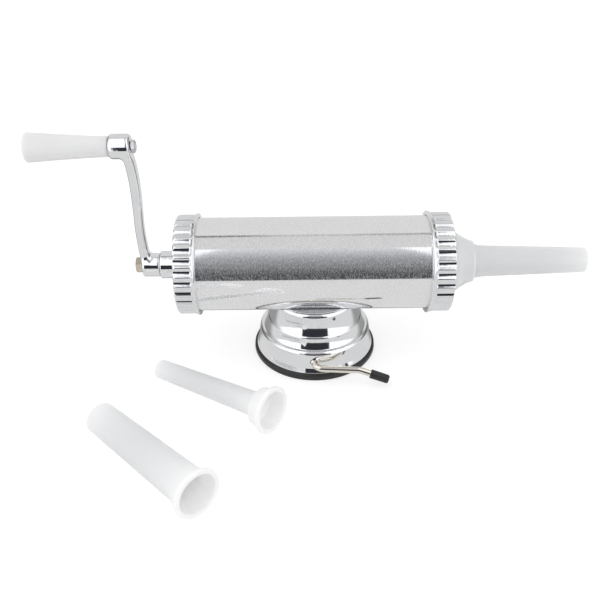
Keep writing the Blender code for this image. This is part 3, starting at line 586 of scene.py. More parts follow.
class Wiring:
    """Short ways to add nodes to a tree and join them."""

    def __init__(self, tree: bpy.types.NodeTree) -> None:
        """Hold the tree."""
        self.tree = tree

    def node(self, kind: str, **settings: object) -> bpy.types.Node:
        """Add a node and set its properties.

        Args:
            kind: the node's type.
            settings: its properties by name.

        Returns:
            The node.
        """
        made = self.tree.nodes.new(kind)
        for key, value in settings.items():
            setattr(made, key, value)
        return made

    def feed(self, socket: bpy.types.NodeSocket, value: object) -> None:
        """Join an output to a socket, or set the socket to a plain value.

        Args:
            socket: the input.
            value: an output or a plain value.
        """
        if isinstance(value, bpy.types.NodeSocket):
            self.tree.links.new(value, socket)
        else:
            socket.default_value = value

    def math(self, kind: str, first: object, second: object = 0.0) -> bpy.types.NodeSocket:
        """One arithmetic step.

        Args:
            kind: the operation.
            first: its first value or output.
            second: its second.

        Returns:
            The result's socket.
        """
        made = self.node("ShaderNodeMath", operation=kind)
        self.feed(made.inputs[0], first)
        self.feed(made.inputs[1], second)
        return made.outputs[0]

    def times(self, first: object, second: object) -> bpy.types.NodeSocket:
        """The product of two values."""
        return self.math("MULTIPLY", first, second)

    def plus(self, first: object, second: object) -> bpy.types.NodeSocket:
        """The sum of two values."""
        return self.math("ADD", first, second)

    def less(self, first: object, second: object) -> bpy.types.NodeSocket:
        """The first value less the second."""
        return self.math("SUBTRACT", first, second)

    def greater(self, first: object, second: object) -> bpy.types.NodeSocket:
        """The greater of two values."""
        return self.math("MAXIMUM", first, second)

    def size(self, value: object) -> bpy.types.NodeSocket:
        """A value without its sign."""
        return self.math("ABSOLUTE", value)

    def step(self, value: object, low: float, high: float) -> bpy.types.NodeSocket:
        """A smooth step from 0 at low to 1 at high, or down again where low is the greater.

        Args:
            value: what is tested.
            low: where the step starts.
            high: where it ends.

        Returns:
            The step's socket.
        """
        made = self.node("ShaderNodeMapRange", interpolation_type="SMOOTHSTEP")
        rising = high >= low
        self.feed(made.inputs["Value"], value)
        self.feed(made.inputs["From Min"], low if rising else high)
        self.feed(made.inputs["From Max"], high if rising else low)
        self.feed(made.inputs["To Min"], 0.0 if rising else 1.0)
        self.feed(made.inputs["To Max"], 1.0 if rising else 0.0)
        return made.outputs["Result"]

    def ranged(self, value: object, low: float, high: float) -> bpy.types.NodeSocket:
        """A value from 0 to 1 spread between two others.

        Args:
            value: the value.
            low: what 0 becomes.
            high: what 1 becomes.

        Returns:
            The spread value's socket.
        """
        made = self.node("ShaderNodeMapRange")
        self.feed(made.inputs["Value"], value)
        self.feed(made.inputs["To Min"], low)
        self.feed(made.inputs["To Max"], high)
        return made.outputs["Result"]

    def ahead(self, x: object, y: object) -> bpy.types.NodeSocket:
        """How far a level direction points to the front: -y / sqrt(x^2 + y^2)."""
        level = self.math("POWER", self.plus(self.times(x, x), self.times(y, y)), 0.5)
        return self.math("DIVIDE", self.times(y, -1.0), self.greater(level, 0.001))

    def flags(self, x: object, y: object) -> bpy.types.NodeSocket:
        """1 in two soft wedges that stand 100 to 145 degrees round from the front."""
        ahead = self.ahead(x, y)
        return self.times(self.step(ahead, -0.05, -0.32), self.step(ahead, -0.90, -0.70))

    def curve(
        self, value: object, points: Sequence[tuple[float, float]]
    ) -> bpy.types.NodeSocket:
        """A grey level that runs in straight lines through points of (value, level).

        Args:
            value: the value that it follows.
            points: the points, in order.

        Returns:
            The level's socket.
        """
        made = self.node("ShaderNodeValToRGB")
        stops = made.color_ramp.elements
        for index, (place, level) in enumerate(points):
            stop = stops[index] if index < 2 else stops.new(place)
            stop.position = place
            stop.color = (level, level, level, 1.0)
        self.feed(made.inputs[0], value)
        return made.outputs[0]

    def between(self, share: object, first: object, second: object) -> bpy.types.NodeSocket:
        """First where the share is 0, second where it is 1, as plain values."""
        return self.plus(self.times(self.less(second, first), share), first)

    def tint(self, share: object, first: Color, second: Color) -> bpy.types.NodeSocket:
        """A mix of two colours.

        Args:
            share: 0 for the first colour, 1 for the second.
            first: the first colour.
            second: the second.

        Returns:
            The mixed colour's socket.
        """
        made = self.node("ShaderNodeMix", data_type="RGBA")
        self.feed(made.inputs[0], share)
        made.inputs[6].default_value = (*first, 1.0)
        made.inputs[7].default_value = (*second, 1.0)
        return made.outputs[2]

    def object_place(self) -> Sequence[bpy.types.NodeSocket]:
        """The place on the object as its x, y and z."""
        parts = self.node("ShaderNodeSeparateXYZ")
        self.feed(parts.inputs[0], self.node("ShaderNodeTexCoord").outputs["Object"])
        return parts.outputs

    def surface(self, shader: bpy.types.NodeSocket) -> None:
        """Make a shader the material's surface."""
        self.feed(self.node("ShaderNodeOutputMaterial").inputs["Surface"], shader)


class Patterns:
    """Node groups that several finishes share, each made once."""

    made: dict[str, bpy.types.NodeTree] = {}

    @classmethod
    def start(
        cls, name: str, inputs: dict[str, object], outputs: Sequence[str]
    ) -> tuple[Wiring, bpy.types.Node, bpy.types.Node]:
        """Open a new group with named sockets.

        Args:
            name: the group's name.
            inputs: defaults by input name; a tuple makes a vector.
            outputs: names of the value outputs.

        Returns:
            The wiring, the group's input node and its output node.
        """
        tree = bpy.data.node_groups.new(name, "ShaderNodeTree")
        for key, value in inputs.items():
            kind = "NodeSocketVector" if isinstance(value, tuple) else "NodeSocketFloat"
            socket = tree.interface.new_socket(key, in_out="INPUT", socket_type=kind)
            socket.default_value = value
        for key in outputs:
            tree.interface.new_socket(key, in_out="OUTPUT", socket_type="NodeSocketFloat")
        cls.made[name] = tree
        wiring = Wiring(tree)
        return wiring, wiring.node("NodeGroupInput"), wiring.node("NodeGroupOutput")

    @classmethod
    def grain(cls) -> bpy.types.NodeTree:
        """Stretched noise in the object's own coordinates.

        Noise of the coordinates times Stretch (repeats per metre).

        Returns:
            The group, with the noise as Height and, with its contrast raised, as Mask.
        """
        if "grain" in cls.made:
            return cls.made["grain"]
        wiring, given, out = cls.start(
            "grain", {"Stretch": (600.0, 600.0, 600.0), "Detail": 2.0}, ("Height", "Mask"),
        )
        place = wiring.node("ShaderNodeTexCoord").outputs["Object"]
        scaled = wiring.node("ShaderNodeVectorMath", operation="MULTIPLY")
        wiring.feed(scaled.inputs[0], place)
        wiring.feed(scaled.inputs[1], given.outputs["Stretch"])
        noise = wiring.node("ShaderNodeTexNoise")
        wiring.feed(noise.inputs["Vector"], scaled.outputs[0])
        noise.inputs["Scale"].default_value = 1.0
        wiring.feed(noise.inputs["Detail"], given.outputs["Detail"])
        height = noise.outputs["Fac"]
        wiring.feed(out.inputs["Height"], height)
        wiring.feed(out.inputs["Mask"], wiring.step(height, 0.35, 0.65))
        return cls.made["grain"]

    @classmethod
    def handling(cls) -> bpy.types.NodeTree:
        """Wiping marks and clouds: where a surface has been touched or polished less.

        A broad cloud times a finer noise, both in the object's own coordinates.

        Returns:
            The group.
        """
        if "handling" in cls.made:
            return cls.made["handling"]
        wiring, given, out = cls.start("handling", {"Size": 25.0, "Amount": 1.0}, ("Mask",))
        place = wiring.node("ShaderNodeTexCoord").outputs["Object"]
        cloud = wiring.node("ShaderNodeTexNoise")
        wiring.feed(cloud.inputs["Vector"], place)
        scale = wiring.math("DIVIDE", 1000.0, given.outputs["Size"])
        wiring.feed(cloud.inputs["Scale"], scale)
        cloud.inputs["Detail"].default_value = 3.0
        fine = wiring.node("ShaderNodeTexNoise")
        wiring.feed(fine.inputs["Vector"], place)
        wiring.feed(fine.inputs["Scale"], wiring.times(scale, 14.0))
        broad = wiring.step(cloud.outputs["Fac"], 0.4, 0.68)
        both = wiring.times(broad, wiring.step(fine.outputs["Fac"], 0.25, 0.75))
        wiring.feed(out.inputs["Mask"], wiring.times(both, given.outputs["Amount"]))
        return cls.made["handling"]


@dataclass(frozen=True)
class Finish:
    """A surface finish: its colours, its gloss, its grain and what it is made of.

    The grain's stretch is in repeats per millimetre, and its depth in millimetres.
    """

    name: str
    slot: Slot
    color: Color
    mark_color: Color
    roughness: tuple[float, float]
    metallic: float
    grain: Vector3 = (1.0, 1.0, 1.0)
    depth: float = 0.0
    detail: float = 2.0
    mark_size: float = 25.0
    milky: float = 0.0
    milky_depth: float = 3.0
    haze: tuple[float, float] = (0.0, 0.0)
    haze_fine: Vector3 = (1.0, 1.0, 1.0)
    haze_roughness: float = 0.55
    haze_ior: float = 3.6
    ior: float = 1.5

    def pattern(self, wiring: Wiring, stretch: Vector3, detail: float) -> bpy.types.Node:
        """A grain in the finish's tree.

        Args:
            wiring: the tree.
            stretch: repeats per millimetre along each axis.
            detail: the noise's detail.

        Returns:
            The grain's node.
        """
        grain = wiring.node("ShaderNodeGroup", node_tree=Patterns.grain())
        grain.inputs["Stretch"].default_value = tuple(value / MM for value in stretch)
        grain.inputs["Detail"].default_value = detail
        return grain

    def material(self) -> bpy.types.Material:
        """The finish as a material, made on its first use.

        Returns:
            The material.
        """
        if self.name in bpy.data.materials:
            return bpy.data.materials[self.name]
        material = bpy.data.materials.new(self.name)
        material.use_nodes = True
        wiring = Wiring(material.node_tree)
        shader = material.node_tree.nodes["Principled BSDF"]
        marks = wiring.node("ShaderNodeGroup", node_tree=Patterns.handling())
        marks.inputs["Size"].default_value = self.mark_size
        grain = self.pattern(wiring, self.grain, self.detail)
        color = wiring.tint(marks.outputs["Mask"], self.color, self.mark_color)
        wiring.feed(shader.inputs["Base Color"], color)
        rough = wiring.ranged(marks.outputs["Mask"], *self.roughness)
        wiring.feed(shader.inputs["Roughness"], rough)
        shader.inputs["Metallic"].default_value = self.metallic
        shader.inputs["IOR"].default_value = self.ior
        if self.depth > 0.0:
            bump = wiring.node("ShaderNodeBump")
            bump.inputs["Strength"].default_value = 1.0
            bump.inputs["Distance"].default_value = self.depth * MM
            wiring.feed(bump.inputs["Height"], grain.outputs["Height"])
            wiring.feed(shader.inputs["Normal"], bump.outputs["Normal"])
        if self.milky > 0.0:
            shader.inputs["Subsurface Weight"].default_value = self.milky
            shader.inputs["Subsurface Radius"].default_value = (1.0, 0.95, 0.9)
            shader.inputs["Subsurface Scale"].default_value = self.milky_depth * MM
        if self.haze[1] > 0.0:
            specks = self.pattern(wiring, self.haze_fine, 1.0).outputs["Mask"]
            wiring.feed(shader.inputs["Coat Weight"], wiring.ranged(specks, *self.haze))
            shader.inputs["Coat Roughness"].default_value = self.haze_roughness
            shader.inputs["Coat IOR"].default_value = self.haze_ior
        material.diffuse_color = (*self.color, 1.0)
        return material


CHROME = Finish(
    "chrome_plate", Slot.CHROME,
    (0.90, 0.905, 0.915), (0.84, 0.845, 0.86), (0.07, 0.11), 1.0,
    grain=(0.16, 0.16, 0.16), depth=0.010, detail=1.0,
)
CAST_CHROME = Finish(
    "cast_chrome", Slot.CHROME,
    (0.90, 0.905, 0.915), (0.82, 0.83, 0.85), (0.03, 0.09), 1.0,
    grain=(0.33, 0.33, 0.33), depth=0.022, detail=1.5, mark_size=14.0,
)
SATIN_ALUMINIUM = Finish(
    "satin_aluminium_tube", Slot.ALUMINIUM,
    (0.90, 0.90, 0.905), (0.86, 0.86, 0.88), (0.07, 0.11), 1.0,
    grain=(1.2, 0.25, 0.25), depth=0.009, detail=1.0, haze=(0.06, 0.88), haze_fine=(2.0, 0.6, 0.6),
)
WHITE_PLASTIC = Finish(
    "milk_white_plastic", Slot.PLASTIC,
    (0.92, 0.92, 0.92), (0.90, 0.90, 0.905), (0.34, 0.46), 0.0,
    grain=(0.5, 0.5, 0.5), depth=0.012, mark_size=30.0, milky=0.9, milky_depth=8.0,
)
# Painted shade: the same milk-white plastic as the spare nozzles, its colour darkened to stand in
# for the shade on the fitted nozzle and the funnel cone in the ring.
PAINTED_SHADE_PLASTIC = Finish(
    "milk_white_plastic_painted_shade", Slot.PLASTIC,
    (0.83, 0.83, 0.83), (0.81, 0.812, 0.815), (0.34, 0.46), 0.0,
    grain=(0.5, 0.5, 0.5), depth=0.012, mark_size=30.0, milky=0.9, milky_depth=8.0,
)
GRIP_PLASTIC = Finish(
    "grip_white_plastic", Slot.PLASTIC,
    (0.74, 0.74, 0.74), (0.72, 0.72, 0.725), (0.30, 0.42), 0.0,
    grain=(0.4, 0.4, 0.4), depth=0.01, mark_size=22.0, milky=0.8, milky_depth=6.0,
)
BLACK_RUBBER = Finish(
    "black_rubber_matt", Slot.RUBBER,
    (0.016, 0.016, 0.017), (0.03, 0.03, 0.031), (0.42, 0.58), 0.0,
    grain=(2.2, 2.2, 2.2), depth=0.03, mark_size=9.0,
)
NICKEL_WIRE = Finish(
    "nickel_wire", Slot.NICKEL,
    (0.90, 0.85, 0.77), (0.80, 0.74, 0.64), (0.07, 0.14), 1.0,
    grain=(0.25, 1.6, 1.6), depth=0.01, mark_size=8.0,
)
ZINC_STEEL = Finish(
    "zinc_plated_steel", Slot.ZINC,
    (0.74, 0.67, 0.56), (0.62, 0.58, 0.48), (0.16, 0.28), 1.0,
    grain=(1.0, 1.0, 1.0), depth=0.015, mark_size=5.0,
)
BRIGHT_STEEL = Finish(
    "bright_turned_steel", Slot.STEEL,
    (0.68, 0.68, 0.69), (0.56, 0.56, 0.57), (0.14, 0.26), 1.0,
    grain=(3.0, 0.4, 0.4), depth=0.012, mark_size=6.0,
)
BRASS = Finish(
    "turned_brass", Slot.BRASS,
    (0.78, 0.60, 0.30), (0.62, 0.45, 0.20), (0.16, 0.30), 1.0,
    grain=(3.0, 0.4, 0.4), depth=0.012, mark_size=6.0,
)
PISTON_PLASTIC = Finish(
    "piston_white_plastic", Slot.PISTON,
    (0.76, 0.765, 0.77), (0.72, 0.725, 0.73), (0.36, 0.5), 0.0,
    grain=(0.6, 0.6, 0.6), depth=0.02, mark_size=18.0, milky=0.1, milky_depth=2.0,
)


# Sub-assemblies


@dataclass
class Base:
    """Suction pad and stepped chrome dome with the barrel's saddle."""

    pad_radius: float = 47.9
    pad_rim: float = 5.4
    pad_rim_inner: float = 38.9
    pad_disc: float = 2.6
    boss_radius: float = 13.0
    boss_gap: float = 0.3
    boss_height: float = 4.9
    socket_radius: float = 9.3
    socket_floor: float = 1.2
    socket_top: float = 3.3
    throat_radius: float = 3.8
    top: float = 49.8
    lip_low: float = 5.7
    lip_radius: float = 45.9
    band_bore: float = 42.3
    ceiling: float = 37.9
    inner_tier: float = 28.6
    step_bore: float = 40.1
    step_ceiling: float = 17.6
    saddle_radius: float = 35.3
    stud_hole: float = 2.8
    stud_places: tuple[float, float] = (-18.0, 18.0)
    lever_x: float = -1.5
    lever_height: float = 14.4

    def pad(self) -> Skin:
        """The pad: a disc with a thick rim and an opening for its middle.

        Returns:
            Its skin.
        """
        opening = self.boss_radius + self.boss_gap
        outline = rounded([
            Corner(0.0, opening, 0.3),
            Corner(self.pad_disc, opening, 0.3),
            Corner(self.pad_disc, self.pad_rim_inner - 1.2, 0.8),
            Corner(self.pad_rim, self.pad_rim_inner + 1.2, 0.8),
            Corner(self.pad_rim, self.lip_radius + 0.3, 0.5),
            Corner(self.pad_rim - 1.3, self.pad_radius - 0.25, 0.8),
            Corner(1.2, self.pad_radius, 0.8),
            Corner(0.0, self.pad_radius - 0.7, 0.5),
        ], closed=True)
        return lathe(outline, Axis(), 160)

    def boss(self) -> Skin:
        """The pad's middle, moulded round the pull stud's foot, which lifts it.

        Returns:
            Its skin.
        """
        outline = rounded([
            Corner(self.socket_floor, 0.0),
            Corner(self.socket_floor, self.socket_radius, 0.3),
            Corner(self.socket_top, self.socket_radius, 0.3),
            Corner(self.socket_top, self.throat_radius, 0.2),
            Corner(self.boss_height, self.throat_radius, 0.3),
            Corner(self.boss_height, self.boss_radius, 1.0),
            Corner(0.0, self.boss_radius, 0.3),
            Corner(0.0, 0.0),
        ], closed=False)
        return lathe(outline, Axis(), 96)

    def dome(self) -> Skin:
        """The dome before its cuts, from the top down the outside, then up the inside.

        Returns:
            Its skin.
        """
        side = Contour(self.top, 29.5, 90.0)
        side.arc(3.4, -3.0, 16).straight(44.0, 3).arc(17.0, 14.3, 8).arc(31.5, 27.0, 12)
        side.arc(0.8, 52.0, 6).arc(2.2, 3.0, 14).arc(7.0, 14.3, 6).arc(29.0, 27.0, 12)
        side.arc(1.0, 80.0, 9)
        side.straight(side.end[0] - 0.07).arc(3.2, 7.6, 18)
        side.straight(9.2, 6).arc(0.5, 23.5, 5).straight(5.8, 3)
        side.to(self.lip_low, self.lip_radius)
        flat = np.array([(self.top, radius) for radius in (0.0, 8.0, 16.0, 23.0, 28.5)])
        inside = rounded([
            Corner(self.lip_low, self.lip_radius),
            Corner(self.lip_low, self.band_bore, 0.3),
            Corner(self.step_ceiling, self.step_bore, 1.0),
            Corner(self.step_ceiling + 1.0, self.inner_tier, 0.6),
            Corner(self.ceiling, self.inner_tier, 1.0),
            Corner(self.ceiling, 0.0),
        ], closed=False)
        return lathe(np.vstack([flat, side.outline(), inside[1:]]), Axis(), 256)

    def cuts(self) -> list[Skin]:
        """The saddle, the two stud holes and the lever's bore.

        Returns:
            The skins to take away.
        """
        reach = self.lip_radius + 6.0
        across = Axis((self.lever_x, 0.0, self.lever_height), (0.0, 1.0, 0.0), (1.0, 0.0, 0.0))
        drills = [
            rod(self.ceiling - 3.0, self.top, self.stud_hole, Axis((place, 0.0, 0.0)), 36)
            for place in self.stud_places
        ]
        return [
            rod(-reach, reach, self.saddle_radius, level_axis(BARREL_HEIGHT), 360),
            *drills,
            rod(-reach, reach, self.stud_hole, across, 40),
        ]

    def build(self) -> None:
        """Make the pad, its middle and the dome."""
        make_piece("rubber_pad", self.pad(), BLACK_RUBBER, Body.STAND, "suction_pad")
        make_piece("pad_middle", self.boss(), BLACK_RUBBER, Body.PULL, "suction_pad")
        dome = make_object("stepped_dome", mesh_from("stepped_dome", self.dome()))
        cut(dome, self.cuts())
        finish_piece(dome, CHROME, Body.STAND, "base_dome")


@dataclass
class Lever:
    """Suction lever: a bent wire through the dome with a black cover on its end."""

    x: float = -1.5
    height: float = 14.4
    far: float = 44.63
    near: float = -50.63
    radius: float = 2.5
    bends: Vector3 = (7.2, 13.0, 13.0)
    arm_run: float = 34.0
    arm_drop: float = 2.0
    kink: Vector3 = (8.6, -1.6, -2.4)
    end: Vector3 = (11.6, -2.9, -2.7)
    cover_radius: float = 3.3
    cover_length: float = 14.3
    cover_wall: float = 1.4
    gap: float = 0.3

    def route(self) -> Array:
        """Centre line of the wire from its far end to the end of its arm.

        Returns:
            Its points.
        """
        start = np.array((self.x, self.far, self.height))
        elbow = np.array((self.x, self.near, self.height))
        arm = elbow + np.array((self.arm_run, 0.0, -self.arm_drop))
        kink = arm + np.array(self.kink)
        tip = kink + np.array(self.end)
        return bent_path([start, elbow, arm, kink, tip], self.bends)

    def build(self) -> None:
        """Make the wire and its cover."""
        route = self.route()
        make_piece(
            "lever_rod", tube(route, self.radius, 0.5), NICKEL_WIRE, Body.LEVER, "lever_wire")
        along = unit(route[-1] - route[-2])
        start = route[-1] - along * (self.cover_length - self.cover_wall - self.gap)
        bore = self.radius + self.gap
        outline = rounded([
            Corner(self.cover_length, 0.0),
            Corner(self.cover_length, self.cover_radius, 2.8),
            Corner(0.0, self.cover_radius + 0.15, 0.35),
            Corner(0.0, bore, 0.1),
            Corner(self.cover_length - self.cover_wall, bore, 0.2),
            Corner(self.cover_length - self.cover_wall, 0.0),
        ], closed=False)
        cover = lathe(outline, Axis(tuple(start), tuple(along), (0.0, 0.0, 1.0)), 56)
        make_piece("lever_cover", cover, BLACK_RUBBER, Body.LEVER, "lever_sleeve")


@dataclass
class Barrel:
    """Aluminium tube with turned-down ends."""

    radius: float = 35.0
    neck: float = 34.1
    bore: float = 33.0
    front: float = 94.9
    rear: float = -98.5
    front_step: float = 87.6
    rear_step: float = -89.4

    def build(self) -> None:
        """Make the tube."""
        outline = rounded([
            Corner(self.front, self.neck, 0.3),
            Corner(self.front_step, self.neck, 0.2),
            Corner(self.front_step, self.radius, 0.3),
            Corner(self.rear_step, self.radius, 0.3),
            Corner(self.rear_step, self.neck, 0.2),
            Corner(self.rear, self.neck, 0.3),
            Corner(self.rear, self.bore, 0.3),
            Corner(self.front, self.bore, 0.3),
        ], closed=True)
        skin = lathe(outline, level_axis(BARREL_HEIGHT), 288)
        make_piece("barrel_tube", skin, SATIN_ALUMINIUM, Body.STAND, "barrel")


@dataclass
class Cap:
    """A ribbed cap. Stations run from its mouth outwards, away from the barrel."""

    name: str
    mouth: float
    way: float
    length: float
    flange_width: float
    edge_round: float
    valley_at: float
    inside: Sequence[Corner]
    body: Body
    node: str
    rib_radius: float = 37.4
    flange_radius: float = 38.9
    rib_count: int = 32
    valley_round: float = 4.4
    crest_round: float = 1.3
    columns_per_rib: int = 24
    blend: float = 0.2
    flute_rows: Sequence[float] = (0.2, 0.45, 0.8, 3.0, 6.0)

    def outline(self) -> Array:
        """The cap's closed outline: a ramp up to the mouth's edge, and the flutes' straight side.

        Returns:
            Its (station, radius) rows, with more of them where the flutes start.
        """
        corners = rounded([
            Corner(0.0, self.flange_radius, 0.8),
            Corner(self.flange_width, self.rib_radius, 0.5),
            Corner(self.length, self.rib_radius, self.edge_round),
            *self.inside,
        ], closed=True, steps=9)
        on_side = corners[:, 1] > self.rib_radius - 0.01
        gap = int(np.argmax(np.diff(corners[:, 0]) * (on_side[:-1] & on_side[1:])))
        start, end = corners[gap, 0], corners[gap + 1, 0]
        extra = np.array([
            (start + run, self.rib_radius) for run in self.flute_rows if start + run < end
        ])
        return np.vstack([corners[:gap + 1], extra, corners[gap + 1:]])

    def groove(self, angle: Array) -> Array:
        """Radius of the fluted side in each direction.

        Hollow arcs of the valley's radius and round crests of the crest's radius meet in line:
        with p the pitch along the side, both lean by asin(p / 2 / (valley + crest)) where they
        meet, and the depth is (valley + crest) * (1 - cos of that lean).

        Args:
            angle: directions about the axis, in radians.

        Returns:
            The radius in each.
        """
        pitch = 360.0 / self.rib_count
        turn = np.degrees(-self.way * angle) - self.valley_at
        turn = np.abs(np.mod(turn + pitch / 2.0, pitch) - pitch / 2.0)
        across = np.radians(turn) * self.rib_radius
        half = math.radians(pitch / 2.0) * self.rib_radius
        both = self.valley_round + self.crest_round
        lean = math.asin(half / both)
        depth = both * (1.0 - math.cos(lean))
        hollow = depth - self.valley_round + np.sqrt(
            np.maximum(self.valley_round ** 2 - across ** 2, 0.0))
        crest = self.crest_round - np.sqrt(
            np.maximum(self.crest_round ** 2 - (half - across) ** 2, 0.0))
        return self.rib_radius - np.where(
            across < self.valley_round * math.sin(lean), hollow, crest)

    def skin(self) -> Skin:
        """The cap's skin: the outline turned, and held below the flutes where they run.

        Where the flutes run the radius is the smooth least of the outline and the flute:
        m - sqrt(d^2 + b^2) + b with m their mean, d half their difference and b half the blend.

        Returns:
            The closed skin.
        """
        outline = self.outline()
        angle = around(self.rib_count * self.columns_per_rib)
        station, radius = outline[:, :1], outline[:, 1:]
        groove = self.groove(angle)
        middle, half = (radius + groove) / 2.0, (radius - groove) / 2.0
        least = middle - np.sqrt(half ** 2 + (self.blend / 2.0) ** 2) + self.blend / 2.0
        low, high = self.flange_width - 0.5, self.flange_width + 0.6
        share = np.clip((station - low) / (high - low), 0.0, 1.0)
        share = share * share * (3.0 - 2.0 * share)
        outer = (radius > self.rib_radius - self.edge_round - 1.4) & (station > low)
        radius = np.where(outer, radius + share * (np.minimum(least, radius) - radius), radius)
        axis = Axis((self.mouth, 0.0, BARREL_HEIGHT), (self.way, 0.0, 0.0))
        return grid_skin(axis.place(station, radius, angle), ring=True)

    def build(self) -> None:
        """Make the cap."""
        make_piece(self.name, self.skin(), CAST_CHROME, self.body, self.node, sharp=50.0)


@dataclass
class Caps:
    """The rear cap with its hub and the front ring with its opening.

    Each edge is the flange's width, the rounding of the closed end and the angle of a valley.
    """

    bore: float = 34.4
    mouth_bore: float = 35.3
    mouth_depth: float = 4.6
    plate: float = 3.5
    hub_radius: float = 10.4
    hub_length: float = 13.6
    hub_bore: float = 8.3
    opening: float = 30.3
    lip: float = 2.5
    rear_mouth: float = -86.2
    rear_end: float = -102.3
    rear_edge: Vector3 = (3.0, 2.0, 20.9)
    front_mouth: float = 83.4
    front_end: float = 100.5
    front_edge: Vector3 = (3.7, 1.1, 15.6)

    def build(self) -> None:
        """Make both caps."""
        length = self.rear_mouth - self.rear_end
        end = length + self.hub_length
        depth = self.mouth_depth - 1.1
        rear = Cap("ribbed_rear_cap", self.rear_mouth, -1.0, length, *self.rear_edge, [
            Corner(length, self.hub_radius, 0.7),
            Corner(end, self.hub_radius, 1.0),
            Corner(end, self.hub_bore, 0.25),
            Corner(length - self.plate, self.hub_bore, 0.3),
            Corner(length - self.plate, self.bore, 0.3),
            Corner(depth, self.bore, 0.2),
            Corner(depth, self.mouth_bore, 0.2),
            Corner(0.0, self.mouth_bore, 0.3),
        ], Body.STAND, "rear_cap")
        length = self.front_end - self.front_mouth
        front = Cap("ribbed_front_ring", self.front_mouth, 1.0, length, *self.front_edge, [
            Corner(length, self.opening, 0.5),
            Corner(length - self.lip, self.opening, 0.3),
            Corner(length - self.lip, self.bore, 0.3),
            Corner(self.mouth_depth, self.bore, 0.2),
            Corner(self.mouth_depth, self.mouth_bore, 0.2),
            Corner(0.0, self.mouth_bore, 0.3),
        ], Body.RING, "front_ring")
        rear.build()
        front.build()


@dataclass
class Nozzle:
    """A nozzle: a flange, a seat that flares to a long tapered tube. Stations from its flange."""

    name: str
    root_radius: float
    tip_radius: float
    length: float
    axis: Axis
    finish: Finish
    body: Body
    node: str
    flange_radius: float = 17.0
    flange: float = 3.0
    wall: float = 1.6
    seat_length: float = 8.4
    seat_radius: float = 15.4
    neck_radius: float = 13.3
    flare_length: float = 5.0

    def skin(self) -> Skin:
        """The nozzle. Its flare is root + (neck - root) * (1 - share)^2.

        Returns:
            The closed skin.
        """
        seat_end = self.flange + self.seat_length
        tube_start = seat_end + self.flare_length
        share = np.linspace(0.0, 1.0, 14)
        drop = self.neck_radius - self.root_radius
        flare = np.stack([
            seat_end + self.flare_length * share, self.root_radius + drop * (1.0 - share) ** 2,
        ], axis=1)
        outer_low = rounded([
            Corner(0.0, self.seat_radius - self.wall, 0.4),
            Corner(0.0, self.flange_radius, 0.6),
            Corner(self.flange, self.flange_radius, 0.6),
            Corner(self.flange, self.seat_radius, 0.5),
            Corner(seat_end, self.neck_radius, 0.0),
        ], closed=False)
        outer_high = rounded([
            Corner(tube_start, self.root_radius),
            Corner(self.length, self.tip_radius, 0.3),
            Corner(self.length, self.tip_radius - self.wall, 0.3),
            Corner(tube_start, self.root_radius - self.wall),
        ], closed=False)
        inner = flare[::-1] - np.array((0.0, self.wall))
        outline = np.vstack([outer_low[:-1], flare[:-1], outer_high[:-1], inner])
        return lathe(outline, self.axis, 112)

    def build(self) -> None:
        """Make the nozzle."""
        make_piece(self.name, self.skin(), self.finish, self.body, self.node)


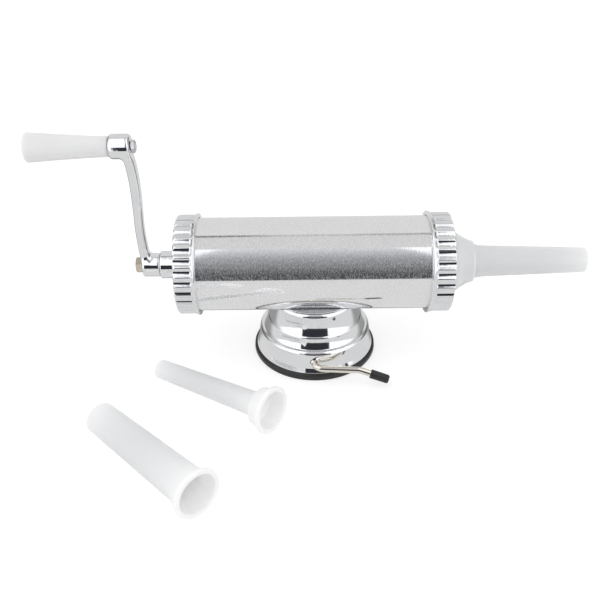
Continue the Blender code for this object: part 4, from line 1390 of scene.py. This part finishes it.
@dataclass
class Front:
    """Funnel cone in the ring, the nozzle in it and the two spare nozzles on the table.

    A spare is its name, root radius, tip radius, length, place, heading and node.
    """

    cone_front: float = 97.7
    cone_back: float = 95.2
    cone_length: float = 21.2
    root_radius: float = 29.5
    mouth_radius: float = 15.5
    power: float = 1.5
    flange_radius: float = 34.0
    wall: float = 1.8
    socket: float = 17.3
    nozzle_back: float = 107.5
    spares: Sequence[tuple] = (
        ("wide_nozzle", 12.9, 11.3, 108.8, -75.0, -176.2, 134.6, "nozzle_large"),
        ("narrow_nozzle", 8.6, 7.15, 106.6, -31.2, -100.4, 145.0, "nozzle_small"),
    )

    def cone(self) -> Skin:
        """The funnel: mouth + (root - mouth) * (1 - share)^power along its length.

        Returns:
            The closed skin.
        """
        share = np.linspace(1.0, 0.0, 26)
        drop = self.root_radius - self.mouth_radius
        outer = np.stack([
            self.cone_front + self.cone_length * share,
            self.mouth_radius + drop * (1.0 - share) ** self.power,
        ], axis=1)
        socket_end = self.nozzle_back + 3.3
        inner = rounded([
            Corner(self.cone_front, self.root_radius),
            Corner(self.cone_front, self.flange_radius, 0.4),
            Corner(self.cone_back, self.flange_radius, 0.4),
            Corner(self.cone_back, self.root_radius, 0.3),
            Corner(self.cone_front, self.root_radius - self.wall, 0.3),
            Corner(self.nozzle_back - 0.3, self.socket, 0.2),
            Corner(socket_end, self.socket, 0.3),
            Corner(socket_end, 15.7, 0.2),
            Corner(self.cone_front + self.cone_length, 13.6),
        ], closed=False)
        return lathe(np.vstack([outer, inner[1:]]), level_axis(BARREL_HEIGHT), 128)

    def spare_axis(self, x: float, y: float, heading: float, tip: float, length: float) -> Axis:
        """Axis of a spare that lies on its flange's front edge and its tip.

        Args:
            x: place of the middle of its flange.
            y: the same, along Y.
            heading: the way its tip points, in degrees from +X.
            tip: radius of its tip.
            length: its length.

        Returns:
            The axis, its origin in the middle of the flange's back.
        """
        flange, width = Nozzle.flange_radius, Nozzle.flange
        lean = math.atan((flange - tip) / (length - width))
        height = flange * math.cos(lean) + width * math.sin(lean)
        turn = math.radians(heading)
        along = (
            math.cos(turn) * math.cos(lean), math.sin(turn) * math.cos(lean), -math.sin(lean),
        )
        return Axis((x, y, height), along, (0.0, 0.0, 1.0))

    def build(self) -> None:
        """Make the cone and the three nozzles."""
        # The funnel cone and the fitted nozzle take the white plastic with painted shade in its
        # colour.
        make_piece(
            "funnel_cone", self.cone(), PAINTED_SHADE_PLASTIC, Body.NOZZLE, "front_cone", sharp=40.0)
        fitted = level_axis(BARREL_HEIGHT, self.nozzle_back)
        Nozzle(
            "fitted_nozzle", 11.6, 9.2, 96.6, fitted, PAINTED_SHADE_PLASTIC, Body.NOZZLE,
            "nozzle_medium", flare_length=12.0,
        ).build()
        for name, root, tip, length, x, y, heading, node in self.spares:
            axis = self.spare_axis(x, y, heading, tip, length)
            Nozzle(name, root, tip, length, axis, WHITE_PLASTIC, Body.STAND, node).build()


@dataclass
class Crank:
    """Cast crank and its hexagon bolt.

    A station of the arm is its share of the height, its share of the offset, and its width and
    depth as shares of the arm's.
    """

    radius: float = 95.0
    lower_x: float = -122.7
    offset: float = 11.7
    lower_radius: float = 8.9
    lower_length: float = 13.0
    lower_round: float = 1.2
    upper_radius: float = 8.7
    upper_length: float = 15.1
    upper_round: float = 2.4
    arm_width: float = 7.4
    arm_depth: float = 11.0
    stations: Sequence[tuple[float, float, float, float]] = (
        (0.020, 0.22, 1.02, 1.00), (0.090, 0.37, 0.95, 0.98), (0.200, 0.45, 0.91, 0.94),
        (0.340, 0.485, 0.90, 0.90), (0.480, 0.45, 0.92, 0.90), (0.630, 0.425, 0.96, 0.93),
        (0.780, 0.46, 0.98, 0.98), (0.890, 0.56, 1.00, 1.05), (0.970, 0.73, 1.02, 1.10),
    )
    squareness: float = 3.0
    blend: float = 2.6
    voxel: float = 0.62
    rounds: int = 8
    probe: float = 0.02
    cut_reach: float = 12.0
    key_side: float = 7.2
    grip_bore: float = 2.9
    bolt_flats: float = 11.0
    bolt_head: float = 5.0
    bolt_radius: float = 2.5
    bolt_reach: float = 16.0
    bolt_turn: float = 25.5
    gap: float = 0.3

    def arm_table(self, height: Array) -> tuple[Array, Array, Array]:
        """The arm's middle, half width and half depth at heights above the screw's axis.

        Each is a smooth curve through the stations: a cubic through four neighbours.

        Args:
            height: heights above the screw's axis.

        Returns:
            The middle's x, the half width and the half depth at each.
        """
        table = np.array(self.stations)
        x = self.lower_x - self.offset * table[:, 1]
        columns = (x, self.arm_width * table[:, 2] / 2.0, self.arm_depth * table[:, 3] / 2.0)
        share = np.clip(height / self.radius, table[0, 0], table[-1, 0])
        index = np.clip(np.searchsorted(table[:, 0], share, side="right") - 1, 0, len(table) - 2)
        t = (share - table[index, 0]) / (table[index + 1, 0] - table[index, 0])
        result = []
        for column in columns:
            slope = np.gradient(column, table[:, 0])
            width = table[index + 1, 0] - table[index, 0]
            a, b = column[index], column[index + 1]
            result.append(
                (2 * t ** 3 - 3 * t ** 2 + 1) * a + (t ** 3 - 2 * t ** 2 + t) * width * slope[index]
                + (3 * t ** 2 - 2 * t ** 3) * b + (t ** 3 - t ** 2) * width * slope[index + 1]
            )
        return tuple(result)

    def bosses(self) -> list[tuple[float, float, float, float, float]]:
        """The lower and upper boss, each as x, z, radius, length and rounding."""
        return [
            (self.lower_x, BARREL_HEIGHT, self.lower_radius, self.lower_length, self.lower_round),
            (self.lower_x - self.offset, BARREL_HEIGHT + self.radius, self.upper_radius,
             self.upper_length, self.upper_round),
        ]

    def drum(
        self, points: Array, x: float, z: float, radius: float, length: float, rounding: float
    ) -> Array:
        """Distance to a boss: a cylinder along X with rounded edges.

        The distance to a rectangle in (radius, station), shrunk by the rounding and grown back.

        Args:
            points: where it is measured.
            x: middle of the boss.
            z: height of its axis.
            radius: its radius.
            length: its length.
            rounding: the rounding of its edges.

        Returns:
            The distance at each point, below zero inside.
        """
        out = np.hypot(points[:, 1], points[:, 2] - z) - radius + rounding
        along = np.abs(points[:, 0] - x) - length / 2.0 + rounding
        outside = np.hypot(np.maximum(out, 0.0), np.maximum(along, 0.0))
        return outside + np.minimum(np.maximum(out, along), 0.0) - rounding

    def arm(self, points: Array) -> Array:
        """Near distance to the arm: a superellipse section that follows the arm's curve.

        Args:
            points: where it is measured.

        Returns:
            The distance at each point, below zero inside.
        """
        height = points[:, 2] - BARREL_HEIGHT
        x, half_width, half_depth = self.arm_table(height)
        u, v = (points[:, 0] - x) / half_width, points[:, 1] / half_depth
        power, least = self.squareness, 1e-9
        size = (np.abs(u) ** power + np.abs(v) ** power) ** (1.0 / power)
        stretch = (u / half_width) ** 2 + (v / half_depth) ** 2
        scale = np.sqrt((u ** 2 + v ** 2 + least) / (stretch + least))
        section = (size - 1.0) * scale
        ends = np.maximum(2.0 - height, height - self.radius + 2.0)
        return np.maximum(section, ends)

    def distance(self, points: Array) -> Array:
        """Distance to the whole casting: the arm and bosses joined with soft fillets.

        Two distances a and b join as min(a, b) - max(blend - |a - b|, 0)^2 / (4 blend).

        Args:
            points: where it is measured.

        Returns:
            The distance at each point, below zero inside.
        """
        whole = self.arm(points)
        for boss in self.bosses():
            drum = self.drum(points, *boss)
            soft = np.maximum(self.blend - np.abs(whole - drum), 0.0)
            whole = np.minimum(whole, drum) - soft ** 2 / (4.0 * self.blend)
        return whole

    def rough_casting(self) -> bpy.types.Object:
        """The arm and bosses as overlapping shapes, for the remesh.

        Returns:
            The object that holds them.
        """
        height = np.linspace(2.0, self.radius - 2.0, 60)
        x, half_width, half_depth = self.arm_table(height)
        angle = around(48)
        power = 2.0 / self.squareness
        cos, sin = np.cos(angle), np.sin(angle)
        side = np.sign(cos) * np.abs(cos) ** power
        front = np.sign(sin) * np.abs(sin) ** power
        rows = np.stack([
            x[:, None] + half_width[:, None] * side, half_depth[:, None] * front,
            np.broadcast_to(BARREL_HEIGHT + height[:, None], (len(height), angle.shape[1])),
        ], axis=-1)
        rows = np.concatenate([rows[:1], rows, rows[-1:]])
        skins = [grid_skin(rows, ring=False)]
        for boss_x, z, radius, length, rounding in self.bosses():
            half = length / 2.0
            outline = rounded([
                Corner(-half, 0.0), Corner(-half, radius, rounding), Corner(half, radius, rounding),
                Corner(half, 0.0),
            ], closed=False)
            skins.append(lathe(outline, level_axis(z, boss_x), 64))
        starts = np.cumsum([0] + [len(skin.points) for skin in skins[:-1]])
        whole = Skin(
            np.vstack([skin.points for skin in skins]),
            np.vstack([skin.quads + start for skin, start in zip(skins, starts)]),
            np.vstack([skin.triangles + start for skin, start in zip(skins, starts)]),
        )
        return make_object("crank_casting", mesh_from("crank_casting", whole))

    def casting(self) -> bpy.types.Object:
        """The casting: remeshed in small cells, then drawn onto the true distance's zero.

        Each round moves a point against the distance's gradient by the distance over the
        gradient's length squared. The square for the screw and the grip's bore are cut last.

        Returns:
            The finished casting.
        """
        obj = self.rough_casting()
        remesh = obj.modifiers.new("cells", "REMESH")
        remesh.mode = "VOXEL"
        remesh.voxel_size = self.voxel * MM
        bpy.context.view_layer.update()
        settle(obj)
        count = len(obj.data.vertices)
        flat = np.empty(count * 3, np.float32)
        obj.data.vertices.foreach_get("co", flat)
        points = flat.reshape(-1, 3).astype(float) / MM
        step = self.probe
        for _ in range(self.rounds):
            near = self.distance(points)
            slope = np.stack([
                (self.distance(points + step * axis) - self.distance(points - step * axis))
                / (2.0 * step)
                for axis in np.eye(3)
            ], axis=1)
            length = np.maximum((slope ** 2).sum(axis=1), 0.2)
            points = points - slope * (near / length)[:, None]
        obj.data.vertices.foreach_set("co", (points * MM).astype(np.float32).ravel())
        obj.data.update()
        half, reach = self.key_side / 2.0, self.cut_reach
        y, z = np.array([(-half, -half), (half, -half), (half, half), (-half, half)]).T
        key = grid_skin(np.stack([
            np.stack([np.full(4, self.lower_x + way), y, BARREL_HEIGHT + z], axis=1)
            for way in (-reach, -reach, reach, reach)
        ]), ring=False)
        axis = level_axis(BARREL_HEIGHT + self.radius, self.lower_x - self.offset)
        cut(obj, [key, rod(-reach, reach, self.grip_bore, axis, 36)], sharp=40.0)
        return obj

    def build(self) -> None:
        """Make the casting and the bolt that holds it on the screw."""
        finish_piece(self.casting(), CAST_CHROME, Body.CRANK, "crank_arm")
        outer = self.lower_x - self.lower_length / 2.0 - self.gap
        turn = math.radians(self.bolt_turn)
        axis = level_axis(BARREL_HEIGHT, side=(0.0, -math.sin(turn), math.cos(turn)))
        thread, reach, edge = self.bolt_radius, outer + self.bolt_reach, 0.4
        stations, radii = hexagon_outline(self.bolt_flats, outer - self.bolt_head, outer, thread)
        shank = np.array([(reach - edge, thread), (reach, thread - edge), (reach, 0.0)])
        ones = np.ones((1, stations.shape[1]))
        stations = np.vstack([stations[:1], stations, shank[:, :1] * ones])
        radii = np.vstack([radii[:1] * 0.0, radii, shank[:, 1:] * ones])
        rows = axis.place(stations, radii, around(stations.shape[1]))
        make_piece(
            "hexagon_bolt", grid_skin(rows, ring=False), ZINC_STEEL, Body.CRANK, "crank_bolt")


@dataclass
class LeadScrew:
    """The screw through the hub: a square end, a thread and a neck for the piston."""

    crest: float = 6.0
    depth: float = 1.1
    lead: float = 6.0
    land_share: float = 0.3
    phase: float = -116.2
    key_end: float = -128.2
    key_root: float = -110.2
    key_side: float = 6.6
    thread_start: float = -115.9
    thread_end: float = 72.6
    neck_radius: float = 3.6
    neck_end: float = 88.5
    tip_radius: float = 2.9
    tip_end: float = 92.8
    tapping: float = 2.8
    tapping_end: float = -112.5

    def radius_at(self, x: Array, angle: Array) -> Array:
        """Radius of the screw at a station and angle.

        The thread's flank is a trapezium of the station less lead * angle / turn; the square
        end is its half side over the greater of |cos| and |sin|.

        Args:
            x: stations.
            angle: directions about the axis.

        Returns:
            The radius at each.
        """
        along = np.mod(x - self.phase - self.lead * angle / (2.0 * math.pi), self.lead)
        land = self.land_share * self.lead
        slope = self.lead / 2.0 - land
        rise = np.clip((along - land) / slope, 0.0, 1.0)
        fall = np.clip((self.lead - along) / slope, 0.0, 1.0)
        thread = self.crest - self.depth + self.depth * np.minimum(rise, fall)
        key = self.key_side / 2.0 / np.maximum(np.abs(np.cos(angle)), np.abs(np.sin(angle)))
        key = np.minimum(key, np.maximum(x - self.key_end, 0.0) + 3.4)
        lead_in = np.maximum(np.minimum(x - self.thread_start, self.thread_end - x), 0.0) + 4.4
        threaded = (x >= self.thread_start) & (x <= self.thread_end)
        radius = np.where(threaded, np.minimum(thread, lead_in), key)
        radius = np.where(x > self.thread_end, self.neck_radius, radius)
        return np.where(x > self.neck_end, self.tip_radius, radius)

    def build(self) -> None:
        """Make the screw as radii over a grid of stations and angles."""
        columns = 64
        angle = around(columns)
        fine = np.arange(self.thread_start, self.thread_end, 0.25)
        stations = np.concatenate([
            np.linspace(self.key_end, self.thread_start - 0.001, 24), fine,
            [self.thread_end, self.thread_end + 0.001, self.neck_end, self.neck_end + 0.001,
             self.tip_end - 0.4],
        ])[:, None]
        radii = self.radius_at(stations, angle)
        ones = np.ones((1, columns))
        start = np.array([
            (self.tapping_end, 0.0), (self.tapping_end, self.tapping), (self.key_end, self.tapping),
        ])
        end = np.array([(self.tip_end, self.tip_radius - 0.4), (self.tip_end, 0.0)])
        stations = np.vstack([start[:, :1] * ones, stations * ones, end[:, :1] * ones])
        radii = np.vstack([start[:, 1:] * ones, radii, end[:, 1:] * ones])
        rows = level_axis(BARREL_HEIGHT, side=(0.0, 0.0, -1.0)).place(stations, radii, angle)
        make_piece(
            "screw_shaft", grid_skin(rows, ring=False), BRIGHT_STEEL, Body.CRANK, "lead_screw",
            sharp=40.0,
        )


@dataclass
class Grip:
    """Flared grip that spins on its shoulder bolt, with the bolt and its nut."""

    height: float = 171.0
    near: float = -142.25
    length: float = 57.6
    inner_radius: float = 7.1
    outer_radius: float = 10.4
    power: float = 1.3
    bore: float = 3.6
    recess: float = 5.8
    recess_depth: float = 5.0
    end_round: float = 1.5
    crown: float = 0.5
    bolt_radius: float = 3.2
    thread_radius: float = 2.6
    head_radius: float = 5.4
    head_height: float = 3.2
    nut_flats: float = 8.0
    nut_low: float = -126.55
    nut_high: float = -123.75
    boss_outer: float = -141.95

    def outline(self) -> Array:
        """The grip's closed outline.

        Its side is inner + (outer - inner) * share^power, and its end is nearly flat.

        Returns:
            Its (station, radius) rows.
        """
        reach = self.length - self.crown
        share = np.linspace(0.0, 1.0, 30)
        side = np.stack([
            -reach * share,
            self.inner_radius + (self.outer_radius - self.inner_radius) * share ** self.power,
        ], axis=1)
        start = rounded([
            Corner(0.0, self.bore), Corner(0.0, self.inner_radius, 0.3),
            Corner(-3.0, self.inner_radius + 0.1),
        ], closed=False)
        deep = -self.length + self.recess_depth
        end = rounded([
            Corner(*side[-3]), Corner(-reach, self.outer_radius, self.end_round),
            Corner(-self.length, self.recess, 0.6),
            Corner(deep, self.recess, 0.3), Corner(deep, self.bore, 0.2),
            Corner(0.0, self.bore),
        ], closed=False, steps=9)
        return np.vstack([start[:-1], side[2:-3], end[:-1]])

    def build(self) -> None:
        """Make the grip, its bolt and its nut."""
        grip = lathe(self.outline(), level_axis(self.height, self.near), 112)
        make_piece("flared_grip", grip, GRIP_PLASTIC, Body.GRIP, "grip")
        face = self.near - self.length + self.recess_depth - 0.4
        shoulder = self.boss_outer - 0.3
        bolt = rounded([
            Corner(self.nut_high, 0.0), Corner(self.nut_high, self.thread_radius, 0.4),
            Corner(shoulder, self.thread_radius, 0.1), Corner(shoulder, self.bolt_radius, 0.3),
            Corner(face, self.bolt_radius, 0.1), Corner(face, self.head_radius, 0.3),
            Corner(face - self.head_height, self.head_radius, 1.1),
            Corner(face - self.head_height, 0.0),
        ], closed=False)
        screw = lathe(bolt, level_axis(self.height), 64)
        make_piece("grip_screw", screw, BRIGHT_STEEL, Body.CRANK, "grip_bolt")
        nut = hexagon_skin(
            level_axis(self.height, side=(0.0, 0.0, 1.0)), self.nut_flats, self.nut_low,
            self.nut_high, self.thread_radius + 0.3,
        )
        make_piece("small_hexagon_nut", nut, BRIGHT_STEEL, Body.CRANK, "grip_nut")


@dataclass
class Piston:
    """Piston disc and its seal."""

    front: float = 93.4
    back: float = 79.4
    hub: float = 74.4
    rim: float = 32.6
    hub_radius: float = 12.0
    bore: float = 4.0
    recess: float = 8.6
    recess_floor: float = 87.0
    seal_half: float = 2.0
    seal_depth: float = 3.4

    def build(self) -> None:
        """Make the disc and the seal."""
        axis = level_axis(BARREL_HEIGHT)
        middle = (self.front + self.back) / 2.0
        floor = self.rim - self.seal_depth
        disc = rounded([
            Corner(self.front, self.recess, 0.4), Corner(self.front, self.rim, 1.2),
            Corner(middle + self.seal_half, self.rim, 0.3),
            Corner(middle + self.seal_half, floor, 0.3),
            Corner(middle - self.seal_half, floor, 0.3),
            Corner(middle - self.seal_half, self.rim, 0.3),
            Corner(self.back, self.rim, 1.2), Corner(self.back, self.hub_radius, 1.5),
            Corner(self.hub, self.hub_radius, 0.8), Corner(self.hub, self.bore, 0.3),
            Corner(self.recess_floor, self.bore, 0.3), Corner(self.recess_floor, self.recess, 0.5),
        ], closed=True)
        make_piece(
            "piston_disc", lathe(disc, axis, 128), PISTON_PLASTIC, Body.PLUNGER, "piston_head")
        half = self.seal_half - 0.3
        seal = rounded([
            Corner(middle + half, floor + 0.3, 0.3), Corner(middle + half, self.rim, 0.3),
            Corner(middle + half / 2.0, self.rim + 0.1, 0.4),
            Corner(middle - half / 2.0, self.rim + 0.1, 0.4),
            Corner(middle - half, self.rim, 0.3), Corner(middle - half, floor + 0.3, 0.3),
        ], closed=True)
        make_piece(
            "piston_ring", lathe(seal, axis, 128), BLACK_RUBBER, Body.PLUNGER, "piston_seal")


@dataclass
class HiddenHardware:
    """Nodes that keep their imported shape: small fasteners and the parts inside the base."""

    steel: Sequence[str] = (
        "barrel_stud_1", "barrel_stud_2", "stud_washer_1", "stud_washer_2", "lever_cam",
        "lever_retainer", "pull_stud", "piston_washer_front", "piston_washer_rear", "piston_nut",
    )
    zinc: Sequence[str] = ("stud_nut_1", "stud_nut_2")
    brass: Sequence[str] = ("screw_nut",)

    def build(self) -> None:
        """Give each node its finish."""
        for names, finish in (
            (self.steel, BRIGHT_STEEL), (self.zinc, ZINC_STEEL), (self.brass, BRASS),
        ):
            for name in names:
                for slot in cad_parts[name].material_slots:
                    slot.material = finish.material()
                log.info("%s: %s", name, finish.name)


# Studio


@dataclass
class Studio:
    """White table and backdrop, a dark opening where the camera stands, soft light, camera.

    Glows are strengths of light, and a step is the two places between which it runs.
    """

    card_y: float = -430.0
    card_half: float = 1500.0
    card_heights: tuple[float, float] = (1.0, 1000.0)
    table_half: float = 4000.0
    table_glow: float = 0.72
    table_bounce: float = 0.95
    table_color: float = 0.40
    table_seen: float = 0.67
    soft_glow: float = 1.22
    room_glow: float = 0.72
    flag_glow: float = 0.22
    wedge_glow: float = 0.33
    dark_glow: float = 0.03
    skirt_color: Color = (0.030, 0.031, 0.036)
    cool_tint: Color = (0.965, 0.98, 1.03)
    column_glow: Sequence[tuple[float, float]] = (
        (0.0, 0.04), (0.20, 0.14), (0.29, 0.21), (0.37, 0.25), (0.455, 0.31), (0.57, 0.42),
        (0.73, 0.54), (0.90, 0.63),
    )
    column_middle: tuple[float, float] = (0.015, 0.008)
    column_sides: tuple[float, float] = (-0.40, 0.185)
    slant: tuple[float, float] = (0.10, 0.205)
    column_step: tuple[float, float] = (0.192, 0.162)
    skirt_steps: tuple[float, ...] = (0.250, 0.232, 0.285, 0.235)
    gauze_y: float = -150.0
    gauze_half: float = 108.0
    gauze_heights: tuple[float, float] = (94.0, 141.5)
    gauze_glow: float = 0.15
    fill: float = 1.0
    lamp_size: float = 1.2
    lamp_power: float = 3.0
    lamp_place: Vector3 = (-0.75, -0.55, 1.5)
    lamp_target: Vector3 = (0.0, 0.0, 0.05)
    lens: float = 46.71
    target: Vector3 = (-11.35, 0.0, 42.43)
    distance: float = 608.1
    azimuth: float = -0.04
    elevation: float = 33.33
    roll: float = -0.64

    def seen_by_metal(self, wiring: Wiring) -> bpy.types.NodeSocket:
        """1 for rays that come from a glossy or clear surface."""
        path = wiring.node("ShaderNodeLightPath")
        return wiring.greater(path.outputs["Is Glossy Ray"], path.outputs["Is Transmission Ray"])

    def world(self) -> None:
        """White to the camera, even fill to matt surfaces, and the studio to polished ones.

        With (x, y, z) the way a mirrored ray goes, the soft boxes stand to both sides of a
        column, |x - 0.015| > max(0.4 * -y, 0.185 * z), and end behind the object on the slanting
        line y = 0.205 * z + 0.1 * x, where a thin dark rail runs.
        """
        world = bpy.data.worlds.new("studio")
        bpy.context.scene.world = world
        world.use_nodes = True
        wiring = Wiring(world.node_tree)
        background = world.node_tree.nodes["Background"]
        way = wiring.node("ShaderNodeSeparateXYZ")
        wiring.feed(way.inputs[0], wiring.node("ShaderNodeTexCoord").outputs["Generated"])
        x, y, z = way.outputs
        side = wiring.size(wiring.less(x, self.column_middle[0]))
        low, high = (wiring.times(part, by) for part, by in zip((y, z), self.column_sides))
        beside = wiring.step(wiring.less(side, wiring.greater(low, high)), -0.015, 0.02)
        overhead = wiring.step(z, 0.45, 0.80)
        slant = wiring.times(wiring.times(x, self.slant[0]), overhead)
        behind = wiring.less(y, wiring.plus(slant, wiring.times(z, self.slant[1])))
        boxes = wiring.times(beside, wiring.step(behind, 0.02, -0.02))
        ends = wiring.greater(wiring.step(wiring.ahead(x, y), -0.10, 0.26), overhead)
        boxes = wiring.times(boxes, ends)
        inner = wiring.times(wiring.step(behind, 0.01, -0.01), wiring.step(z, 0.5, 0.8))
        glow = wiring.between(inner, self.room_glow, self.column_glow[-1][1])
        glow = wiring.between(boxes, glow, self.soft_glow)
        flags = wiring.times(wiring.flags(x, y), wiring.step(z, 0.60, 0.36))
        flag = wiring.between(wiring.step(z, 0.12, 0.24), self.dark_glow, self.flag_glow)
        glow = wiring.between(flags, glow, flag)
        faint = wiring.between(wiring.step(x, -0.06, 0.06), 0.8, 0.5)
        faint = wiring.between(wiring.step(side, 0.02, 0.11), 0.25, faint)
        rail = wiring.times(wiring.step(wiring.size(behind), 0.058, 0.035), overhead)
        glow = wiring.between(wiring.times(rail, faint), glow, self.dark_glow)
        fill = wiring.between(self.seen_by_metal(wiring), self.fill, glow)
        camera = wiring.node("ShaderNodeLightPath").outputs["Is Camera Ray"]
        wiring.feed(background.inputs["Strength"], wiring.between(camera, fill, 1.0))
        background.inputs["Color"].default_value = (1.0, 1.0, 1.0, 1.0)

    def sheet(self, name: str, corners: Sequence[Vector3]) -> tuple[bpy.types.Object, Wiring]:
        """A flat four-cornered stage piece with an empty material.

        Args:
            name: the piece's name.
            corners: its corners, in millimetres.

        Returns:
            The piece and the wiring of its material.
        """
        mesh = bpy.data.meshes.new(name)
        mesh.from_pydata([tuple(MM * value for value in corner) for corner in corners], [],
                         [(0, 1, 2, 3)])
        obj = make_object(name, mesh)
        material = bpy.data.materials.new(f"{name}_light")
        material.use_nodes = True
        material.node_tree.nodes.clear()
        mesh.materials.append(material)
        return obj, Wiring(material.node_tree)

    def mirrored_sheet(
        self, name: str, y: float, half: float, heights: tuple[float, float]
    ) -> Wiring:
        """An upright sheet across the front that only polished surfaces see.

        Args:
            name: the piece's name.
            y: where it stands.
            half: half its width.
            heights: its lower and upper edge.

        Returns:
            The wiring of its material.
        """
        low, high = heights
        obj, wiring = self.sheet(
            name, [(-half, y, low), (half, y, low), (half, y, high), (-half, y, high)])
        obj.visible_camera = obj.visible_diffuse = obj.visible_shadow = False
        return wiring

    def table(self) -> None:
        """Pale table that keeps the object's shadow."""
        half = self.table_half
        _, wiring = self.sheet("table_top", [
            (-half, -half, 0.0), (half, -half, 0.0), (half, half, 0.0), (-half, half, 0.0),
        ])
        matt = wiring.node("ShaderNodeBsdfDiffuse")
        matt.inputs["Color"].default_value = (*[self.table_color] * 3, 1.0)
        glow = wiring.node("ShaderNodeEmission")
        glow.inputs["Strength"].default_value = self.table_seen
        seen = wiring.node("ShaderNodeAddShader")
        wiring.feed(seen.inputs[0], matt.outputs[0])
        wiring.feed(seen.inputs[1], glow.outputs[0])
        other = wiring.node("ShaderNodeEmission")
        x, y, _ = wiring.object_place()
        mirrored = wiring.between(wiring.flags(x, y), self.table_glow, self.wedge_glow)
        wiring.feed(other.inputs["Strength"], wiring.between(
            self.seen_by_metal(wiring), self.table_bounce, mirrored))
        mix = wiring.node("ShaderNodeMixShader")
        wiring.feed(mix.inputs[0], wiring.node("ShaderNodeLightPath").outputs["Is Camera Ray"])
        wiring.feed(mix.inputs[1], other.outputs[0])
        wiring.feed(mix.inputs[2], seen.outputs[0])
        wiring.surface(mix.outputs[0])

    def card(self) -> None:
        """Soft boxes with the dark opening and skirting between them, seen only in metal."""
        wiring = self.mirrored_sheet("front_card", self.card_y, self.card_half, self.card_heights)
        x, _, z = wiring.object_place()
        column = wiring.curve(z, self.column_glow)
        beside = wiring.size(wiring.less(x, self.column_middle[1]))
        glow = wiring.between(wiring.step(beside, *self.column_step), self.soft_glow, column)
        skirt = wiring.times(wiring.step(wiring.size(x), *self.skirt_steps[:2]),
                             wiring.step(z, *self.skirt_steps[2:]))
        dark = wiring.node("ShaderNodeMix", data_type="RGBA")
        wiring.feed(dark.inputs[0], skirt)
        wiring.feed(dark.inputs[6], glow)
        dark.inputs[7].default_value = (*self.skirt_color, 1.0)
        cool = wiring.node("ShaderNodeVectorMath", operation="MULTIPLY")
        wiring.feed(cool.inputs[0], dark.outputs[2])
        cool.inputs[1].default_value = self.cool_tint
        lit = wiring.node("ShaderNodeEmission")
        wiring.feed(lit.inputs["Color"], cool.outputs[0])
        wiring.surface(lit.outputs[0])

    def gauze(self) -> None:
        """A narrow lit gauze in front of the barrel, seen only in its lower dark band."""
        low, high = self.gauze_heights
        wiring = self.mirrored_sheet(
            "front_gauze", self.gauze_y, self.gauze_half, self.gauze_heights)
        _, _, z = wiring.object_place()
        rise = wiring.math("DIVIDE", wiring.less(z, low * MM), (high - low) * MM)
        lit = wiring.node("ShaderNodeEmission")
        wiring.feed(lit.inputs["Strength"], wiring.times(rise, self.gauze_glow))
        both = wiring.node("ShaderNodeAddShader")
        wiring.feed(both.inputs[0], lit.outputs[0])
        wiring.feed(both.inputs[1], wiring.node("ShaderNodeBsdfTransparent").outputs[0])
        wiring.surface(both.outputs[0])

    def lamps(self) -> None:
        """One large soft lamp from the upper left, which metal doesn't mirror."""
        data = bpy.data.lights.new("soft_key", "AREA")
        data.shape = "DISK"
        data.size = self.lamp_size
        data.energy = self.lamp_power
        lamp = bpy.data.objects.new("soft_key", data)
        bpy.context.scene.collection.objects.link(lamp)
        lamp.location = self.lamp_place
        aim = Vector(self.lamp_target) - Vector(self.lamp_place)
        lamp.rotation_euler = aim.to_track_quat("-Z", "Y").to_euler()
        lamp.visible_glossy = False

    def camera(self) -> None:
        """The camera at the photograph's angle.

        It stands at target + distance * back, with back at the azimuth and elevation, and its
        right and up vectors turned by the roll.
        """
        azimuth, elevation, roll = (
            math.radians(value) for value in (self.azimuth, self.elevation, self.roll)
        )
        back = np.array((
            math.sin(azimuth) * math.cos(elevation), -math.cos(azimuth) * math.cos(elevation),
            math.sin(elevation),
        ))
        level = np.array((math.cos(azimuth), math.sin(azimuth), 0.0))
        upright = np.cross(back, level)
        right = math.cos(roll) * level + math.sin(roll) * upright
        up = -math.sin(roll) * level + math.cos(roll) * upright
        place = (np.array(self.target) + self.distance * back) * MM
        data = bpy.data.cameras.new("camera")
        data.lens = self.lens
        data.sensor_width = 36.0
        data.clip_start = 0.01
        data.clip_end = 50.0
        camera = bpy.data.objects.new("camera", data)
        bpy.context.scene.collection.objects.link(camera)
        matrix = np.eye(4)
        matrix[:3, 0], matrix[:3, 1], matrix[:3, 2], matrix[:3, 3] = right, up, back, place
        camera.matrix_world = Matrix(matrix.tolist())
        bpy.context.scene.camera = camera

    def build(self) -> None:
        """Set up the light, the table and the camera."""
        bpy.context.scene.view_settings.view_transform = "Standard"
        self.world()
        self.table()
        self.card()
        self.gauze()
        self.lamps()
        self.camera()


def main() -> None:
    """Build the studio and every sub-assembly."""
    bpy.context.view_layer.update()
    for assembly in (
        Studio(), Base(), Lever(), Barrel(), Caps(), Front(), Crank(), LeadScrew(), Grip(),
        Piston(), HiddenHardware(),
    ):
        assembly.build()


if __name__ == "__main__":
    main()
